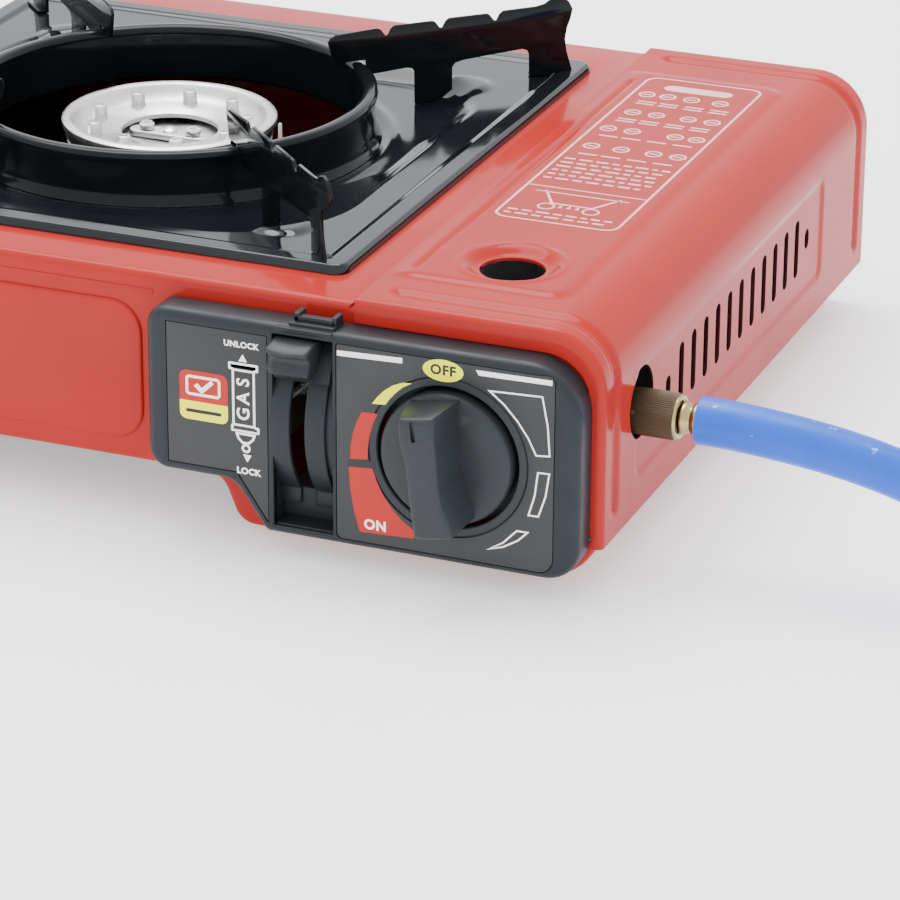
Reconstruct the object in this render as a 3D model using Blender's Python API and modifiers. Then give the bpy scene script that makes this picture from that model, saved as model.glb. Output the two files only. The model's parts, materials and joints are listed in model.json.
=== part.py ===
"""Portable gas stove with a single burner, a cartridge bay and a hose for an outside gas supply.

The figures below are millimetres. X runs to the right, Y to the back and Z up from the table, and
the front-view figures count Y from the middle of the lid's depth. stove_frame carries them all, so
that the world origin is under the middle of the stove. Run it with blender --background --python.
"""
from math import asin, atan2, cos, degrees, pi, radians, sin, sqrt

import bmesh
import bpy
from mathutils import Matrix, Vector

MM = 0.001
GAP = 0.3  # between pieces that touch

# Overall sizes
HALF_LENGTH = 171.0
LID_HALF_DEPTH = 142.5
LID_TOP = 89.5
LID_LEFT = 85.6
LID_BOTTOM = 16.5
LID_CORNER = 20.0
LID_SHEET = 1.0
FLANGE_TOP = 8.0
FLANGE_SIDE = 5.0
CASE_HALF_DEPTH = 141.0
CASE_TOP = 87.5
CASE_SHEET = 1.2
CASE_RIGHT = 169.2
LEFT_FLOOR = 19.7
BAY_FLOOR = 3.0
SEAM = 84.4

# Burner, tray and pan supports
BURNER = (-42.5, -9.7)
BURNER_TOP = 93.5
BURNER_RADIUS = 38.4
TRAY_SIDE = 234.0
TRAY_CENTRE = (-44.2, -3.7)
TRAY_SHEET = 1.2
TRAY_REST = CASE_TOP + GAP
TRAY_LEDGE = 89.8
TRAY_RIM = 91.0
DISH_HALF = 95.5
DISH_CORNER = 46.0
DISH_FLOOR = 85.1
RING_RADIUS = 74.2
RING_HOLE = 67.5
RING_TOP = 104.0
BLADE_SHEET = 1.2
POSTS = 9

# Control panel
PANEL_FRONT = -154.0
PANEL_BACK = -142.8
PANEL_WALL = 2.5
DECAL_DEPTH = 0.7
KNOB_AXIS = (122.5, 45.3)
KNOB_RADIUS = 22.45
KNOB_FACE = -157.0
GRIP_FRONT = -175.0
LEVER_AXIS = (-121.0, 46.0)
LEVER_REST = 39.0
CHANNEL = (61.9, 83.0)
CHANNEL_RADIUS = 34.5
STRIP_RIGHT = 80.6
LEVER_X = (68.9, 72.9)
LEVER_TURN = 70.0
LINK_REACH = 8.0
PEG_RADIUS = 1.8

# Gas supply
INLET = (-105.9, 50.7)
HOSE_HOLE = (-106.1, 53.9)
NUT_RADIUS = 7.75
HOSE_START = 190.7
HOSE_RADIUS = 8.0
COIL_MIDDLE = 92.0
COIL_CENTRE_X = 434.0
COIL_END_ANGLE = 140.0

# Lid hinge
HINGE = (166.0, 20.0)
PIN_RADIUS = 1.2

FRAME_SHIFT = -(GRIP_FRONT + LID_HALF_DEPTH) / 2
ROUND = 40

for old in list(bpy.data.objects):
    bpy.data.objects.remove(old)

PARTS = bpy.data.collections.new("camping_stove")
CUTTERS = bpy.data.collections.new("cutters")
for collection in (PARTS, CUTTERS):
    bpy.context.scene.collection.children.link(collection)

stove_frame = bpy.data.objects.new("stove_frame", None)
stove_frame.location = (0, FRAME_SHIFT * MM, 0)
PARTS.objects.link(stove_frame)


def material(name, colour, roughness, metallic=0.0):
    made = bpy.data.materials.new(name)
    made.use_nodes = True
    shader = made.node_tree.nodes["Principled BSDF"]
    shader.inputs["Base Color"].default_value = (*colour, 1)
    shader.inputs["Roughness"].default_value = roughness
    shader.inputs["Metallic"].default_value = metallic
    return made


RED_PAINT = material("red_paint", (0.50, 0.045, 0.03), 0.25)
BLACK_ENAMEL = material("black_enamel", (0.012, 0.013, 0.015), 0.15)
BLACK_PLASTIC = material("black_plastic", (0.045, 0.05, 0.055), 0.55)
DECAL_GREY = material("decal_grey", (0.09, 0.09, 0.085), 0.45)
GALVANISED = material("galvanised", (0.55, 0.56, 0.57), 0.4, 1.0)
CAST_ALUMINIUM = material("cast_aluminium", (0.75, 0.75, 0.74), 0.35, 1.0)
DARK_BRASS = material("dark_brass", (0.30, 0.21, 0.11), 0.4, 1.0)
BRASS = material("brass", (0.62, 0.50, 0.22), 0.3, 1.0)
RUBBER = material("rubber", (0.03, 0.03, 0.03), 0.8)
CERAMIC = material("ceramic", (0.85, 0.84, 0.80), 0.4)
BLUE_HOSE = material("blue_hose", (0.06, 0.20, 0.60), 0.4)


# Making and joining pieces


def place(name, data, collection, origin=(0, 0, 0)):
    """An object whose data is already in metres about origin, which is in millimetres."""
    made = bpy.data.objects.new(name, data)
    made.location = Vector(origin) * MM
    made.parent = stove_frame
    collection.objects.link(made)
    if collection is CUTTERS:
        made.hide_render = True
        made.display_type = "WIRE"
    return made


def from_bmesh(name, shape, paint, origin=(0, 0, 0), smooth=True):
    """A piece from a bmesh in millimetres; with no paint it is a cutter."""
    bmesh.ops.transform(shape, matrix=Matrix.Scale(MM, 4) @ Matrix.Translation(-Vector(origin)), verts=shape.verts)
    bmesh.ops.recalc_face_normals(shape, faces=shape.faces)
    mesh = bpy.data.meshes.new(name)
    shape.to_mesh(mesh)
    shape.free()
    if paint:
        mesh.materials.append(paint)
    if smooth:
        mesh.shade_smooth()
        mesh.set_sharp_from_angle(angle=radians(35))
    return place(name, mesh, PARTS if paint else CUTTERS, origin)


def block(name, low, high, paint=None, origin=(0, 0, 0)):
    low, high = Vector(low), Vector(high)
    shape = bmesh.new()
    sized = Matrix.Translation((low + high) / 2) @ Matrix.Diagonal((*(high - low), 1))
    bmesh.ops.create_cube(shape, size=1, matrix=sized)
    return from_bmesh(name, shape, paint, origin, smooth=False)


def rod(name, axis, start, length, radius, paint=None, origin=(0, 0, 0), sides=ROUND, end_radius=None):
    """A cylinder or a cone from start along axis, which is 'X', 'Y' or 'Z'."""
    turn = {"X": Matrix.Rotation(pi / 2, 4, "Y"), "Y": Matrix.Rotation(-pi / 2, 4, "X"), "Z": Matrix()}[axis]
    shape = bmesh.new()
    lifted = Matrix.Translation(start) @ turn @ Matrix.Translation((0, 0, length / 2))
    bmesh.ops.create_cone(
        shape, cap_ends=True, segments=sides, radius1=radius, depth=length,
        radius2=radius if end_radius is None else end_radius, matrix=lifted,
    )
    return from_bmesh(name, shape, paint, origin)


PLANES = {
    "XY": Matrix(),
    "XZ": Matrix(((1, 0, 0, 0), (0, 0, -1, 0), (0, 1, 0, 0), (0, 0, 0, 1))),
    "YZ": Matrix(((0, 0, 1, 0), (1, 0, 0, 0), (0, 1, 0, 0), (0, 0, 0, 1))),
}


def slab(name, outlines, plane, low, high, paint=None, origin=(0, 0, 0), turn=None):
    """Flat outlines, of which the inner ones are holes, given thickness from low to high."""
    curve = bpy.data.curves.new(name, "CURVE")
    curve.dimensions = "2D"
    curve.fill_mode = "BOTH"
    curve.extrude = (high - low) / 2
    for outline in outlines:
        spline = curve.splines.new("POLY")
        spline.points.add(len(outline) - 1)
        for point, (u, v) in zip(spline.points, outline):
            point.co = (u, v, 0, 1)
        spline.use_cyclic_u = True
    flat = bpy.data.objects.new(name, curve)
    bpy.context.scene.collection.objects.link(flat)
    bpy.context.view_layer.update()
    mesh = bpy.data.meshes.new_from_object(flat.evaluated_get(bpy.context.evaluated_depsgraph_get()))
    bpy.data.objects.remove(flat)
    shape = bmesh.new()
    shape.from_mesh(mesh)
    bpy.data.meshes.remove(mesh)
    bmesh.ops.remove_doubles(shape, verts=shape.verts, dist=0.001)
    side = -1 if plane == "XZ" else 1
    standing = PLANES[plane] @ Matrix.Translation((0, 0, side * (low + high) / 2))
    bmesh.ops.transform(shape, matrix=(turn or Matrix()) @ standing, verts=shape.verts)
    return from_bmesh(name, shape, paint, origin)


def turned(name, profile, paint, origin, axis="Z", closed=False, steps=ROUND):
    """A profile of (radius, height) points turned about an axis through origin."""
    mesh = bpy.data.meshes.new(name)
    points = [(r * MM, 0, h * MM) for r, h in profile]
    edges = [(i, i + 1) for i in range(len(points) - 1)]
    if closed:
        edges.append((len(points) - 1, 0))
    mesh.from_pydata(points, edges, [])
    mesh.materials.append(paint) if paint else None
    made = place(name, mesh, PARTS if paint else CUTTERS, origin)
    made.rotation_euler = {"Z": (0, 0, 0), "X": (0, pi / 2, 0), "Y": (-pi / 2, 0, 0)}[axis]
    screw = made.modifiers.new("turn", "SCREW")
    screw.steps = screw.render_steps = steps
    screw.use_merge_vertices = True
    screw.merge_threshold = 0.00001
    screw.use_smooth_shade = True
    return made


def tube(name, points, radius, paint, origin=(0, 0, 0), resolution=2):
    curve = bpy.data.curves.new(name, "CURVE")
    curve.dimensions = "3D"
    curve.bevel_depth = radius * MM
    curve.bevel_resolution = resolution
    curve.use_fill_caps = True
    spline = curve.splines.new("POLY")
    spline.points.add(len(points) - 1)
    for point, co in zip(spline.points, points):
        point.co = (*((Vector(co) - Vector(origin)) * MM), 1)
    curve.materials.append(paint)
    return place(name, curve, PARTS, origin)


def combine(piece, operation, others):
    for other in others:
        step = piece.modifiers.new(other.name, "BOOLEAN")
        step.operation = operation
        step.solver = "EXACT"
        step.object = other


def cut(piece, *cutters):
    combine(piece, "DIFFERENCE", cutters)


def join(piece, *additions):
    combine(piece, "UNION", additions)


def arc(centre, radius, start, end, steps):
    """Points on an arc, in degrees, counted anticlockwise from the first axis."""
    angles = [radians(start + (end - start) * i / steps) for i in range(steps + 1)]
    return [(centre[0] + radius * cos(a), centre[1] + radius * sin(a)) for a in angles]


def rounded(corners, steps=5):
    """A closed outline whose corners, given as (u, v, radius), are filled with arcs."""
    outline = []
    for i, (u, v, radius) in enumerate(corners):
        here = Vector((u, v))
        if radius <= 0:
            outline.append((u, v))
            continue
        back = (Vector(corners[i - 1][:2]) - here).normalized()
        ahead = (Vector(corners[(i + 1) % len(corners)][:2]) - here).normalized()
        half = back.angle(ahead) / 2
        centre = here + (back + ahead).normalized() * (radius / sin(half))
        reach = (pi / 2 - half)
        middle = (here - centre).normalized()
        turn = 1 if back.x * ahead.y - back.y * ahead.x < 0 else -1
        for k in range(steps + 1):
            angle = turn * reach * (2 * k / steps - 1)
            x = middle.x * cos(angle) - middle.y * sin(angle)
            y = middle.x * sin(angle) + middle.y * cos(angle)
            outline.append((centre.x + radius * x, centre.y + radius * y))
    return outline


def square(centre, side, radius):
    half = side / 2
    ways = ((-1, -1), (1, -1), (1, 1), (-1, 1))
    return rounded([(centre[0] + half * u, centre[1] + half * v, radius) for u, v in ways])


def smooth_route(points, spacing):
    """Evenly spaced points on a Catmull-Rom curve through the given points."""
    points = [Vector(p) for p in points]
    ends = [2 * points[0] - points[1], *points, 2 * points[-1] - points[-2]]
    fine = []
    for a, b, c, d in zip(ends, ends[1:], ends[2:], ends[3:]):
        for k in range(20):
            t = k / 20
            fine.append(
                0.5 * (2 * b + (c - a) * t + (2 * a - 5 * b + 4 * c - d) * t**2 + (3 * b - a - 3 * c + d) * t**3)
            )
    fine.append(points[-1])
    total = sum((q - p).length for p, q in zip(fine, fine[1:]))
    count = max(2, round(total / spacing))
    route, walked, target = [fine[0]], 0.0, total / count
    for p, q in zip(fine, fine[1:]):
        step = (q - p).length
        while step and walked + step >= target - 1e-9 and len(route) < count:
            route.append(p.lerp(q, (target - walked) / step))
            target += total / count
        walked += step
    route.append(fine[-1])
    return route


# Casing and base


def case_outline(inset):
    """The casing seen from the front, moved in from its outer skin by inset."""
    i = inset
    return rounded([
        (-HALF_LENGTH + i, LEFT_FLOOR + i, 5 - i),
        (36.5 + 0.9 * i, LEFT_FLOOR + i, 8 + i),
        (43.5 + 0.6 * i, BAY_FLOOR + i, 8 - i),
        (CASE_RIGHT - i, BAY_FLOOR + i, 20 - i),
        (CASE_RIGHT - i, CASE_TOP - 1 - i, 18.6 - i),
        (SEAM - i, CASE_TOP - 1 - i, 0),
        (SEAM - i, CASE_TOP - i, 0),
        (-HALF_LENGTH + i, CASE_TOP - i, 14 - i),
    ])


def slots(name, axis, centres, width, height, reach):
    """A row of upright cutters with round ends, joined in one object."""
    row = bmesh.new()
    for u, v, depth in centres:
        across, up = width / 2, height / 2 - width / 2
        outline = arc((u, v + up), across, 0, 180, 4) + arc((u, v - up), across, 180, 360, 4)
        low, high = depth - reach, depth + reach
        rings = []
        for d in (low, high):
            rings.append([row.verts.new((d, a, b) if axis == "X" else (a, d, b)) for a, b in outline])
        row.faces.new(rings[0])
        row.faces.new(reversed(rings[1]))
        count = len(outline)
        for k in range(count):
            nxt = (k + 1) % count
            row.faces.new((rings[0][k], rings[1][k], rings[1][nxt], rings[0][nxt]))
    return from_bmesh(name, row, None)


def make_casing():
    depth = CASE_HALF_DEPTH
    casing = slab("body_casing", [case_outline(0)], "XZ", -depth, depth, RED_PAINT)
    inside = slab("casing_inside", [case_outline(CASE_SHEET)], "XZ", CASE_SHEET - depth, depth - CASE_SHEET)
    hole = TRAY_SIDE / 2 - 6
    tray_hole = block(
        "tray_hole", (TRAY_CENTRE[0] - hole, TRAY_CENTRE[1] - hole, 80), (TRAY_CENTRE[0] + hole, TRAY_CENTRE[1] + hole, 95)
    )
    bay_mouth = block("bay_mouth", (88, -134, 18), (180, 134, 95))
    floor_hole = block("floor_hole", (-160, -128, 15), (26, 128, 24))
    lever_window = block("lever_window", (57, -146, 20), (83.5, -135, 79))
    knob_window = rod("knob_window", "Y", (KNOB_AXIS[0], -146, KNOB_AXIS[1]), 11, 24)
    cut(casing, inside, tray_hole, bay_mouth, floor_hole, lever_window, knob_window)
    for side in (-1, 1):
        start = (HINGE[0], side * depth - 4, HINGE[1])
        cut(casing, rod(f"pin_hole_{side}", "Y", start, 8, PIN_RADIUS + GAP, sides=12))


def make_base():
    low = LEFT_FLOOR + CASE_SHEET + GAP
    plate = block("base_plate", (-165, -134, low), (30, 134, low + 1), GALVANISED)
    centres = [(x, 0, low) for x in range(-130, -80, 16)]
    vents = bmesh.new()
    for x, y, z in centres:
        sized = Matrix.Translation((x, y, z)) @ Matrix.Diagonal((6, 120, 6, 1))
        bmesh.ops.create_cube(vents, size=1, matrix=sized)
    cut(plate, from_bmesh("base_vents", vents, None))
    shield = block("heat_shield", (85.0, -96, 4.5), (86.0, 139.5, 84.9), GALVANISED)
    cut(shield, rod("tube_notch", "X", (80, -104.5, 46), 10, 14), rod("lead_notch", "X", (80, -96, 72), 10, 4))
    bracket = rounded([
        (-76, 0, 0), (-76, 1.5, 0), (-64.5, 1.5, 1), (-54.5, 30.3, 2), (-30.5, 30.3, 2), (-20.5, 1.5, 1),
        (-9, 1.5, 0), (-9, 0, 0), (-21.5, 0, 1), (-31.5, 28.8, 2), (-53.5, 28.8, 2), (-63.5, 0, 1),
    ], steps=2)
    top = low + 1 + GAP
    slab("burner_bracket", [[(u, top + v) for u, v in bracket]], "XZ", BURNER[1] - 12, BURNER[1] + 12, GALVANISED)


def make_feet():
    for side, y in (("front", -118), ("rear", 118)):
        for end, x, top in (("left", -150, LEFT_FLOOR + CASE_SHEET), ("right", 140, BAY_FLOOR - GAP)):
            turned(f"foot_{side}_{end}", [(0, top), (7, top), (9, 0.5), (8.5, 0), (0, 0)], RUBBER, (x, y, 0), steps=20)


# Burner


def make_burner():
    x, y = BURNER
    base = turned("burner_base", [
        (0, 84), (27, 84), (35.5, 86), (36.5, 84), (28, 78), (13, 72), (10, 69), (10, 53), (0, 53),
    ], CAST_ALUMINIUM, (x, y, 0))
    ear = block("electrode_ear", (x + 6, y - 5, 70.2), (x + 48, y + 5, 72.2))
    eye = rod("electrode_eye", "Z", (x + 43, y, 66), 10, 2.5, sides=12)
    join(base, ear)
    cut(base, eye)

    floor = 88.0
    head = turned("burner_head", [
        (BURNER_RADIUS - 3.4, BURNER_TOP), (BURNER_RADIUS - 1, BURNER_TOP), (BURNER_RADIUS, BURNER_TOP - 1.5),
        (BURNER_RADIUS - 1, 86.5), (36.5, 86.4), (18, 85.4), (17, 86), (17, floor), (30, floor),
    ], CAST_ALUMINIUM, (x, y, 0), closed=True)
    posts = bmesh.new()
    for k in range(POSTS):
        angle = radians(20 + 360 * k / POSTS)
        stand = Matrix.Translation((x + 27.5 * cos(angle), y + 27.5 * sin(angle), floor + 2.4))
        bmesh.ops.create_cone(posts, cap_ends=True, segments=10, radius1=2.6, radius2=2.2, depth=5.6, matrix=stand)
    join(head, from_bmesh("burner_posts", posts, None))

    bridge = slab("burner_bridge", [rounded([
        (x - 15.5, y - 3.5, 3.4), (x + 15.5, y - 3.5, 3.4), (x + 15.5, y + 3.5, 3.4), (x - 15.5, y + 3.5, 3.4),
    ], steps=4)], "XY", 84.3, 86.6, CAST_ALUMINIUM)
    for side, offset in (("left", -9), ("right", 9)):
        turned(
            f"bridge_screw_{side}", [(0, 89.3), (1.8, 89.3), (2.8, 88.4), (2.8, 86.9), (0, 86.9)],
            CAST_ALUMINIUM, (x + offset, y, 0), steps=12,
        )


# Drip tray, wind ring and pan supports


def make_tray():
    x, y = BURNER
    mouth = square(BURNER, 2 * DISH_HALF, DISH_CORNER)
    tray = slab(
        "drip_tray", [square(TRAY_CENTRE, TRAY_SIDE, 7), mouth], "XY", TRAY_LEDGE - TRAY_SHEET, TRAY_LEDGE, BLACK_ENAMEL,
    )
    rim = slab(
        "tray_rim", [square(TRAY_CENTRE, TRAY_SIDE - 0.02, 7), square(TRAY_CENTRE, TRAY_SIDE - 6, 5)], "XY", TRAY_REST, TRAY_RIM,
    )
    outside = square(BURNER, 2 * (DISH_HALF + TRAY_SHEET), DISH_CORNER + TRAY_SHEET)
    wall = slab("tray_wall", [outside, square(BURNER, 2 * DISH_HALF - 0.04, DISH_CORNER)], "XY", DISH_FLOOR - TRAY_SHEET, TRAY_LEDGE - 0.1)
    floor = slab(
        "tray_floor", [square(BURNER, 2 * DISH_HALF + 0.8, DISH_CORNER), arc(BURNER, 69, 0, 351, 39)],
        "XY", DISH_FLOOR - TRAY_SHEET + 0.05, DISH_FLOOR,
    )
    join(tray, rim, wall, floor)

    low = DISH_FLOOR + GAP
    outer = RING_RADIUS - 0.8
    turned("wind_ring", [
        (outer - 0.8, RING_TOP), (RING_RADIUS - 0.6, RING_TOP), (RING_RADIUS, RING_TOP - 1), (RING_RADIUS, RING_TOP - 2.5),
        (outer, RING_TOP - 3.2), (outer, low), (RING_HOLE, low), (RING_HOLE, low + 1.2), (outer - 3, low + 1.2),
        (outer - 1.2, low + 3), (outer - 1.2, RING_TOP - 1.5),
    ], BLACK_ENAMEL, (x, y, 0), closed=True, steps=48)


def blade_outline(foot):
    """A pan support seen from its side: distance from the burner's axis, and height."""
    top, dip = 115.6, 3.2
    edge = [(60.5, top - 2.2), (63, top - 0.6)]
    for middle in (83.2, 104.6, 126.0):
        edge += [(middle - 2.6, top), (middle, top - dip), (middle + 3.2, top + 0.4)]
    horn = [(146, top + 1), (149.5, top + 3.9), (153.5, top + 3.4), (156.8, top - 1.2)]
    outer = [(foot - 2.8, 107), (foot - 3.2, 102), (foot, TRAY_LEDGE + GAP)]
    outer_leg = [(139.8, TRAY_LEDGE + GAP), (139.4, 99.5), (136.5, 101.2)]
    inner_leg = [(113, 99.6), (108.9, 97.4), (108.9, 89), (103.8, DISH_FLOOR + GAP), (94.3, DISH_FLOOR + GAP), (94, 98)]
    hook = [(91.5, 99.4), (77.5, 98.6), (75, 99.5), (75, RING_TOP + GAP), (67.4, RING_TOP + GAP), (66.8, 102), (63.5, 103.5)]
    return edge + horn + outer + outer_leg + inner_leg + hook


def make_pan_supports():
    for name, angle in (("rear_right", 45), ("rear_left", 135), ("front_left", 225), ("front_right", 315)):
        turn = Matrix.Translation((*BURNER, 0)) @ Matrix.Rotation(radians(angle), 4, "Z")
        slab(
            f"pan_support_{name}", [blade_outline(157 if angle < 180 else 151.5)], "XZ", -BLADE_SHEET / 2, BLADE_SHEET / 2, BLACK_ENAMEL, turn=turn
        )


# Lid


def lid_edge(inset_top, inset_side, left, bottom):
    """The corner of the lid's outline, from its left end over the round corner to its lower end."""
    right, top = HALF_LENGTH - inset_side, LID_TOP - inset_top
    radius = LID_CORNER - (inset_top + inset_side) / 2
    return [(left, top), *reversed(arc((right - radius, top - radius), radius, 0, 90, 8)), (right, bottom)]


def make_lid():
    depth = LID_HALF_DEPTH
    skin = lid_edge(0, 0, LID_LEFT, LID_BOTTOM) + lid_edge(LID_SHEET, LID_SHEET, LID_LEFT, LID_BOTTOM)[::-1]
    hinge = (HINGE[0], 0, HINGE[1])
    lid = slab("lid", [skin], "XZ", -depth, depth, RED_PAINT, origin=hinge)
    ear = [(HALF_LENGTH - FLANGE_SIDE, 26), (162.4, 23), (162.4, LID_BOTTOM + 0.01)]
    inner = lid_edge(FLANGE_TOP, FLANGE_SIDE, LID_LEFT + 0.01, 26)[:-1]
    flange = lid_edge(0.01, 0.01, LID_LEFT + 0.01, LID_BOTTOM + 0.01) + ear[::-1] + inner[::-1]
    for name, low in (("front_flange", -depth + 0.01), ("rear_flange", depth - LID_SHEET - 0.01)):
        join(lid, slab(name, [flange], "XZ", low, low + LID_SHEET))
    top_hole = rod("top_hole", "Z", (121, -94.6, 80), 20, 10.9, sides=28)
    hose_hole = rod("hose_hole", "X", (160, *HOSE_HOLE), 20, 12.25, sides=28)
    vents = slots("side_vents", "X", [(-66.4 + 12.52 * k, 49, HALF_LENGTH) for k in range(11)], 4.8, 21.5, 6)
    dots = slots("side_dots", "X", [(y, 49, HALF_LENGTH) for y in (-78.9, 71.3)], 4.4, 7, 6)
    cut(lid, top_hole, hose_hole, vents, dots)
    for side in (-1, 1):
        start = (HINGE[0], side * depth - 4, HINGE[1])
        cut(lid, rod(f"flange_hole_{side}", "Y", start, 8, PIN_RADIUS + GAP, sides=12))
    for name, start in (("front", -depth), ("rear", depth - 4.3)):
        rod(f"hinge_pin_{name}", "Y", (HINGE[0], start, HINGE[1]), 4.3, PIN_RADIUS, GALVANISED, sides=12)


# Control panel


def panel_outline(inset):
    i = inset
    return rounded([
        (16.8 + i, 24.5 + i, max(7 - i, 1)), (47.2 + 0.55 * i, 24.5 + i, 9), (58.6 + 0.55 * i, 8.2 + i, 3),
        (167 - i, 8.2 + i, max(12 - i, 2)), (167 - i, 81.3 - i, max(18 - i, 3)), (16.8 + i, 81.3 - i, max(7 - i, 1)),
    ], steps=4)


def left_decal(grow=0.0):
    g = grow
    return [(24.6 - g, 77 + g), (24.6 - g, 28.2 - g), (49.2 - g, 28.2 - g), (60 - g, 12.4 - g), (60 + g, 12.4 - g),
            (60 + g, 77 + g)]


def right_decal(grow=0.0):
    g = grow
    return rounded([
        (84.3 - g, 11 - g, 2), (158.5 + g, 11 - g, 5), (158.5 + g, 78.3 + g, 11), (84.3 - g, 78.3 + g, 1),
    ], steps=3)


def channel_sector(inner, outer, start, end, steps=10):
    """A curved strip about the lever's axis, seen from the right; degrees count up from the front."""
    return arc(LEVER_AXIS, outer, 180 - start, 180 - end, steps) + arc(LEVER_AXIS, inner, 180 - end, 180 - start, steps)


def make_panel():
    left, right = CHANNEL
    panel = slab("control_bezel", [panel_outline(0)], "XZ", PANEL_FRONT, PANEL_BACK, BLACK_PLASTIC)
    hollow = slab("panel_hollow", [panel_outline(PANEL_WALL)], "XZ", PANEL_FRONT + PANEL_WALL, PANEL_BACK + 5)
    opening = block("channel_opening", (left, -160, 12), (right, -130, 78.6))
    knob_hole = rod("knob_hole", "Y", (KNOB_AXIS[0], -160, KNOB_AXIS[1]), 15, 24.2)
    pockets = [
        slab("left_pocket", [left_decal(0.3)], "XZ", PANEL_FRONT - 5, PANEL_FRONT + DECAL_DEPTH),
        slab("right_pocket", [right_decal(0.3)], "XZ", PANEL_FRONT - 5, PANEL_FRONT + DECAL_DEPTH),
    ]
    ring = slab(
        "knob_surround", [arc((KNOB_AXIS[0], KNOB_AXIS[1]), 27.2, 0, 351, 39), arc(KNOB_AXIS, 24.2, 0, 351, 39)],
        "XZ", PANEL_FRONT, PANEL_FRONT + PANEL_WALL,
    )
    strips = [
        slab("channel_strip", [channel_sector(32.5, CHANNEL_RADIUS, -46, 60, 14)], "YZ", left - 0.8, STRIP_RIGHT),
        slab("strip_ledge", [channel_sector(31, 33.2, -45.9, 59.9, 14)], "YZ", STRIP_RIGHT - 0.6, right + 0.2),
        block("strip_foot", (left - 0.81, -146.2, 17), (STRIP_RIGHT + 0.01, -143.5, 22.31)),
    ]
    walls = [
        block("channel_wall_left", (left - 1.6, -153, 11), (left, PANEL_BACK, 79.5)),
        block("channel_wall_right", (right, -153, 11), (right + 1.6, PANEL_BACK, 79.5)),
        block("channel_foot", (left - 0.8, -145, 10.5), (right + 0.8, -143.4, 22.3)),
    ]
    clip = block("top_clip", (65.5, -149, 80.5), (83.8, -144.2, 84.4))
    bosses = [rod(f"panel_boss_{k}", "Y", (x, -152, z), 10.7, 3, sides=12) for k, (x, z) in enumerate(((36, 53), (152, 20)))]
    slit = block("lever_slit", (LEVER_X[0] - 0.6, -170, 18), (LEVER_X[1] + 0.6, -130, 79))
    cut(panel, hollow, opening, knob_hole, *pockets)
    join(panel, ring, *walls, *strips, clip, *bosses)
    cut(panel, slit)

    low = PANEL_FRONT + 0.05
    high = PANEL_FRONT + DECAL_DEPTH - GAP
    slab("decal_left", [left_decal()], "XZ", low, high, DECAL_GREY)
    slab("decal_right", [right_decal(), arc(KNOB_AXIS, 27.6, 0, 351, 39)], "XZ", low, high, DECAL_GREY)


def make_knob():
    x, z = KNOB_AXIS
    axis = (x, KNOB_FACE, z)
    knob = turned("knob", [
        (0, 0), (KNOB_RADIUS - 1.5, 0), (KNOB_RADIUS, 1.5), (KNOB_RADIUS, 8), (6, 8), (6, 14), (0, 14),
    ][::-1], BLACK_PLASTIC, axis, axis="Y")
    tilt = Matrix.Translation((x, 0, z)) @ Matrix.Rotation(radians(-9), 4, "Y") @ Matrix.Translation((-x, 0, -z))
    grip = slab("knob_grip", [rounded([
        (x - 7.0, z - 20.5, 3), (x + 7.0, z - 20.5, 3), (x + 7.0, z + 21.5, 3), (x - 7.0, z + 21.5, 3),
    ], steps=3)], "XZ", GRIP_FRONT, KNOB_FACE + 3, turn=tilt)
    socket = rod("knob_socket", "Y", (x, KNOB_FACE + 6, z), 12, 3 + GAP, sides=16)
    join(knob, grip)
    cut(knob, socket)
    turned("valve_stem", [(0, 0), (3, 0), (3, 18), (0, 18)][::-1], BRASS, (x, KNOB_FACE + 6.3, z), axis="Y", steps=16)


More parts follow.
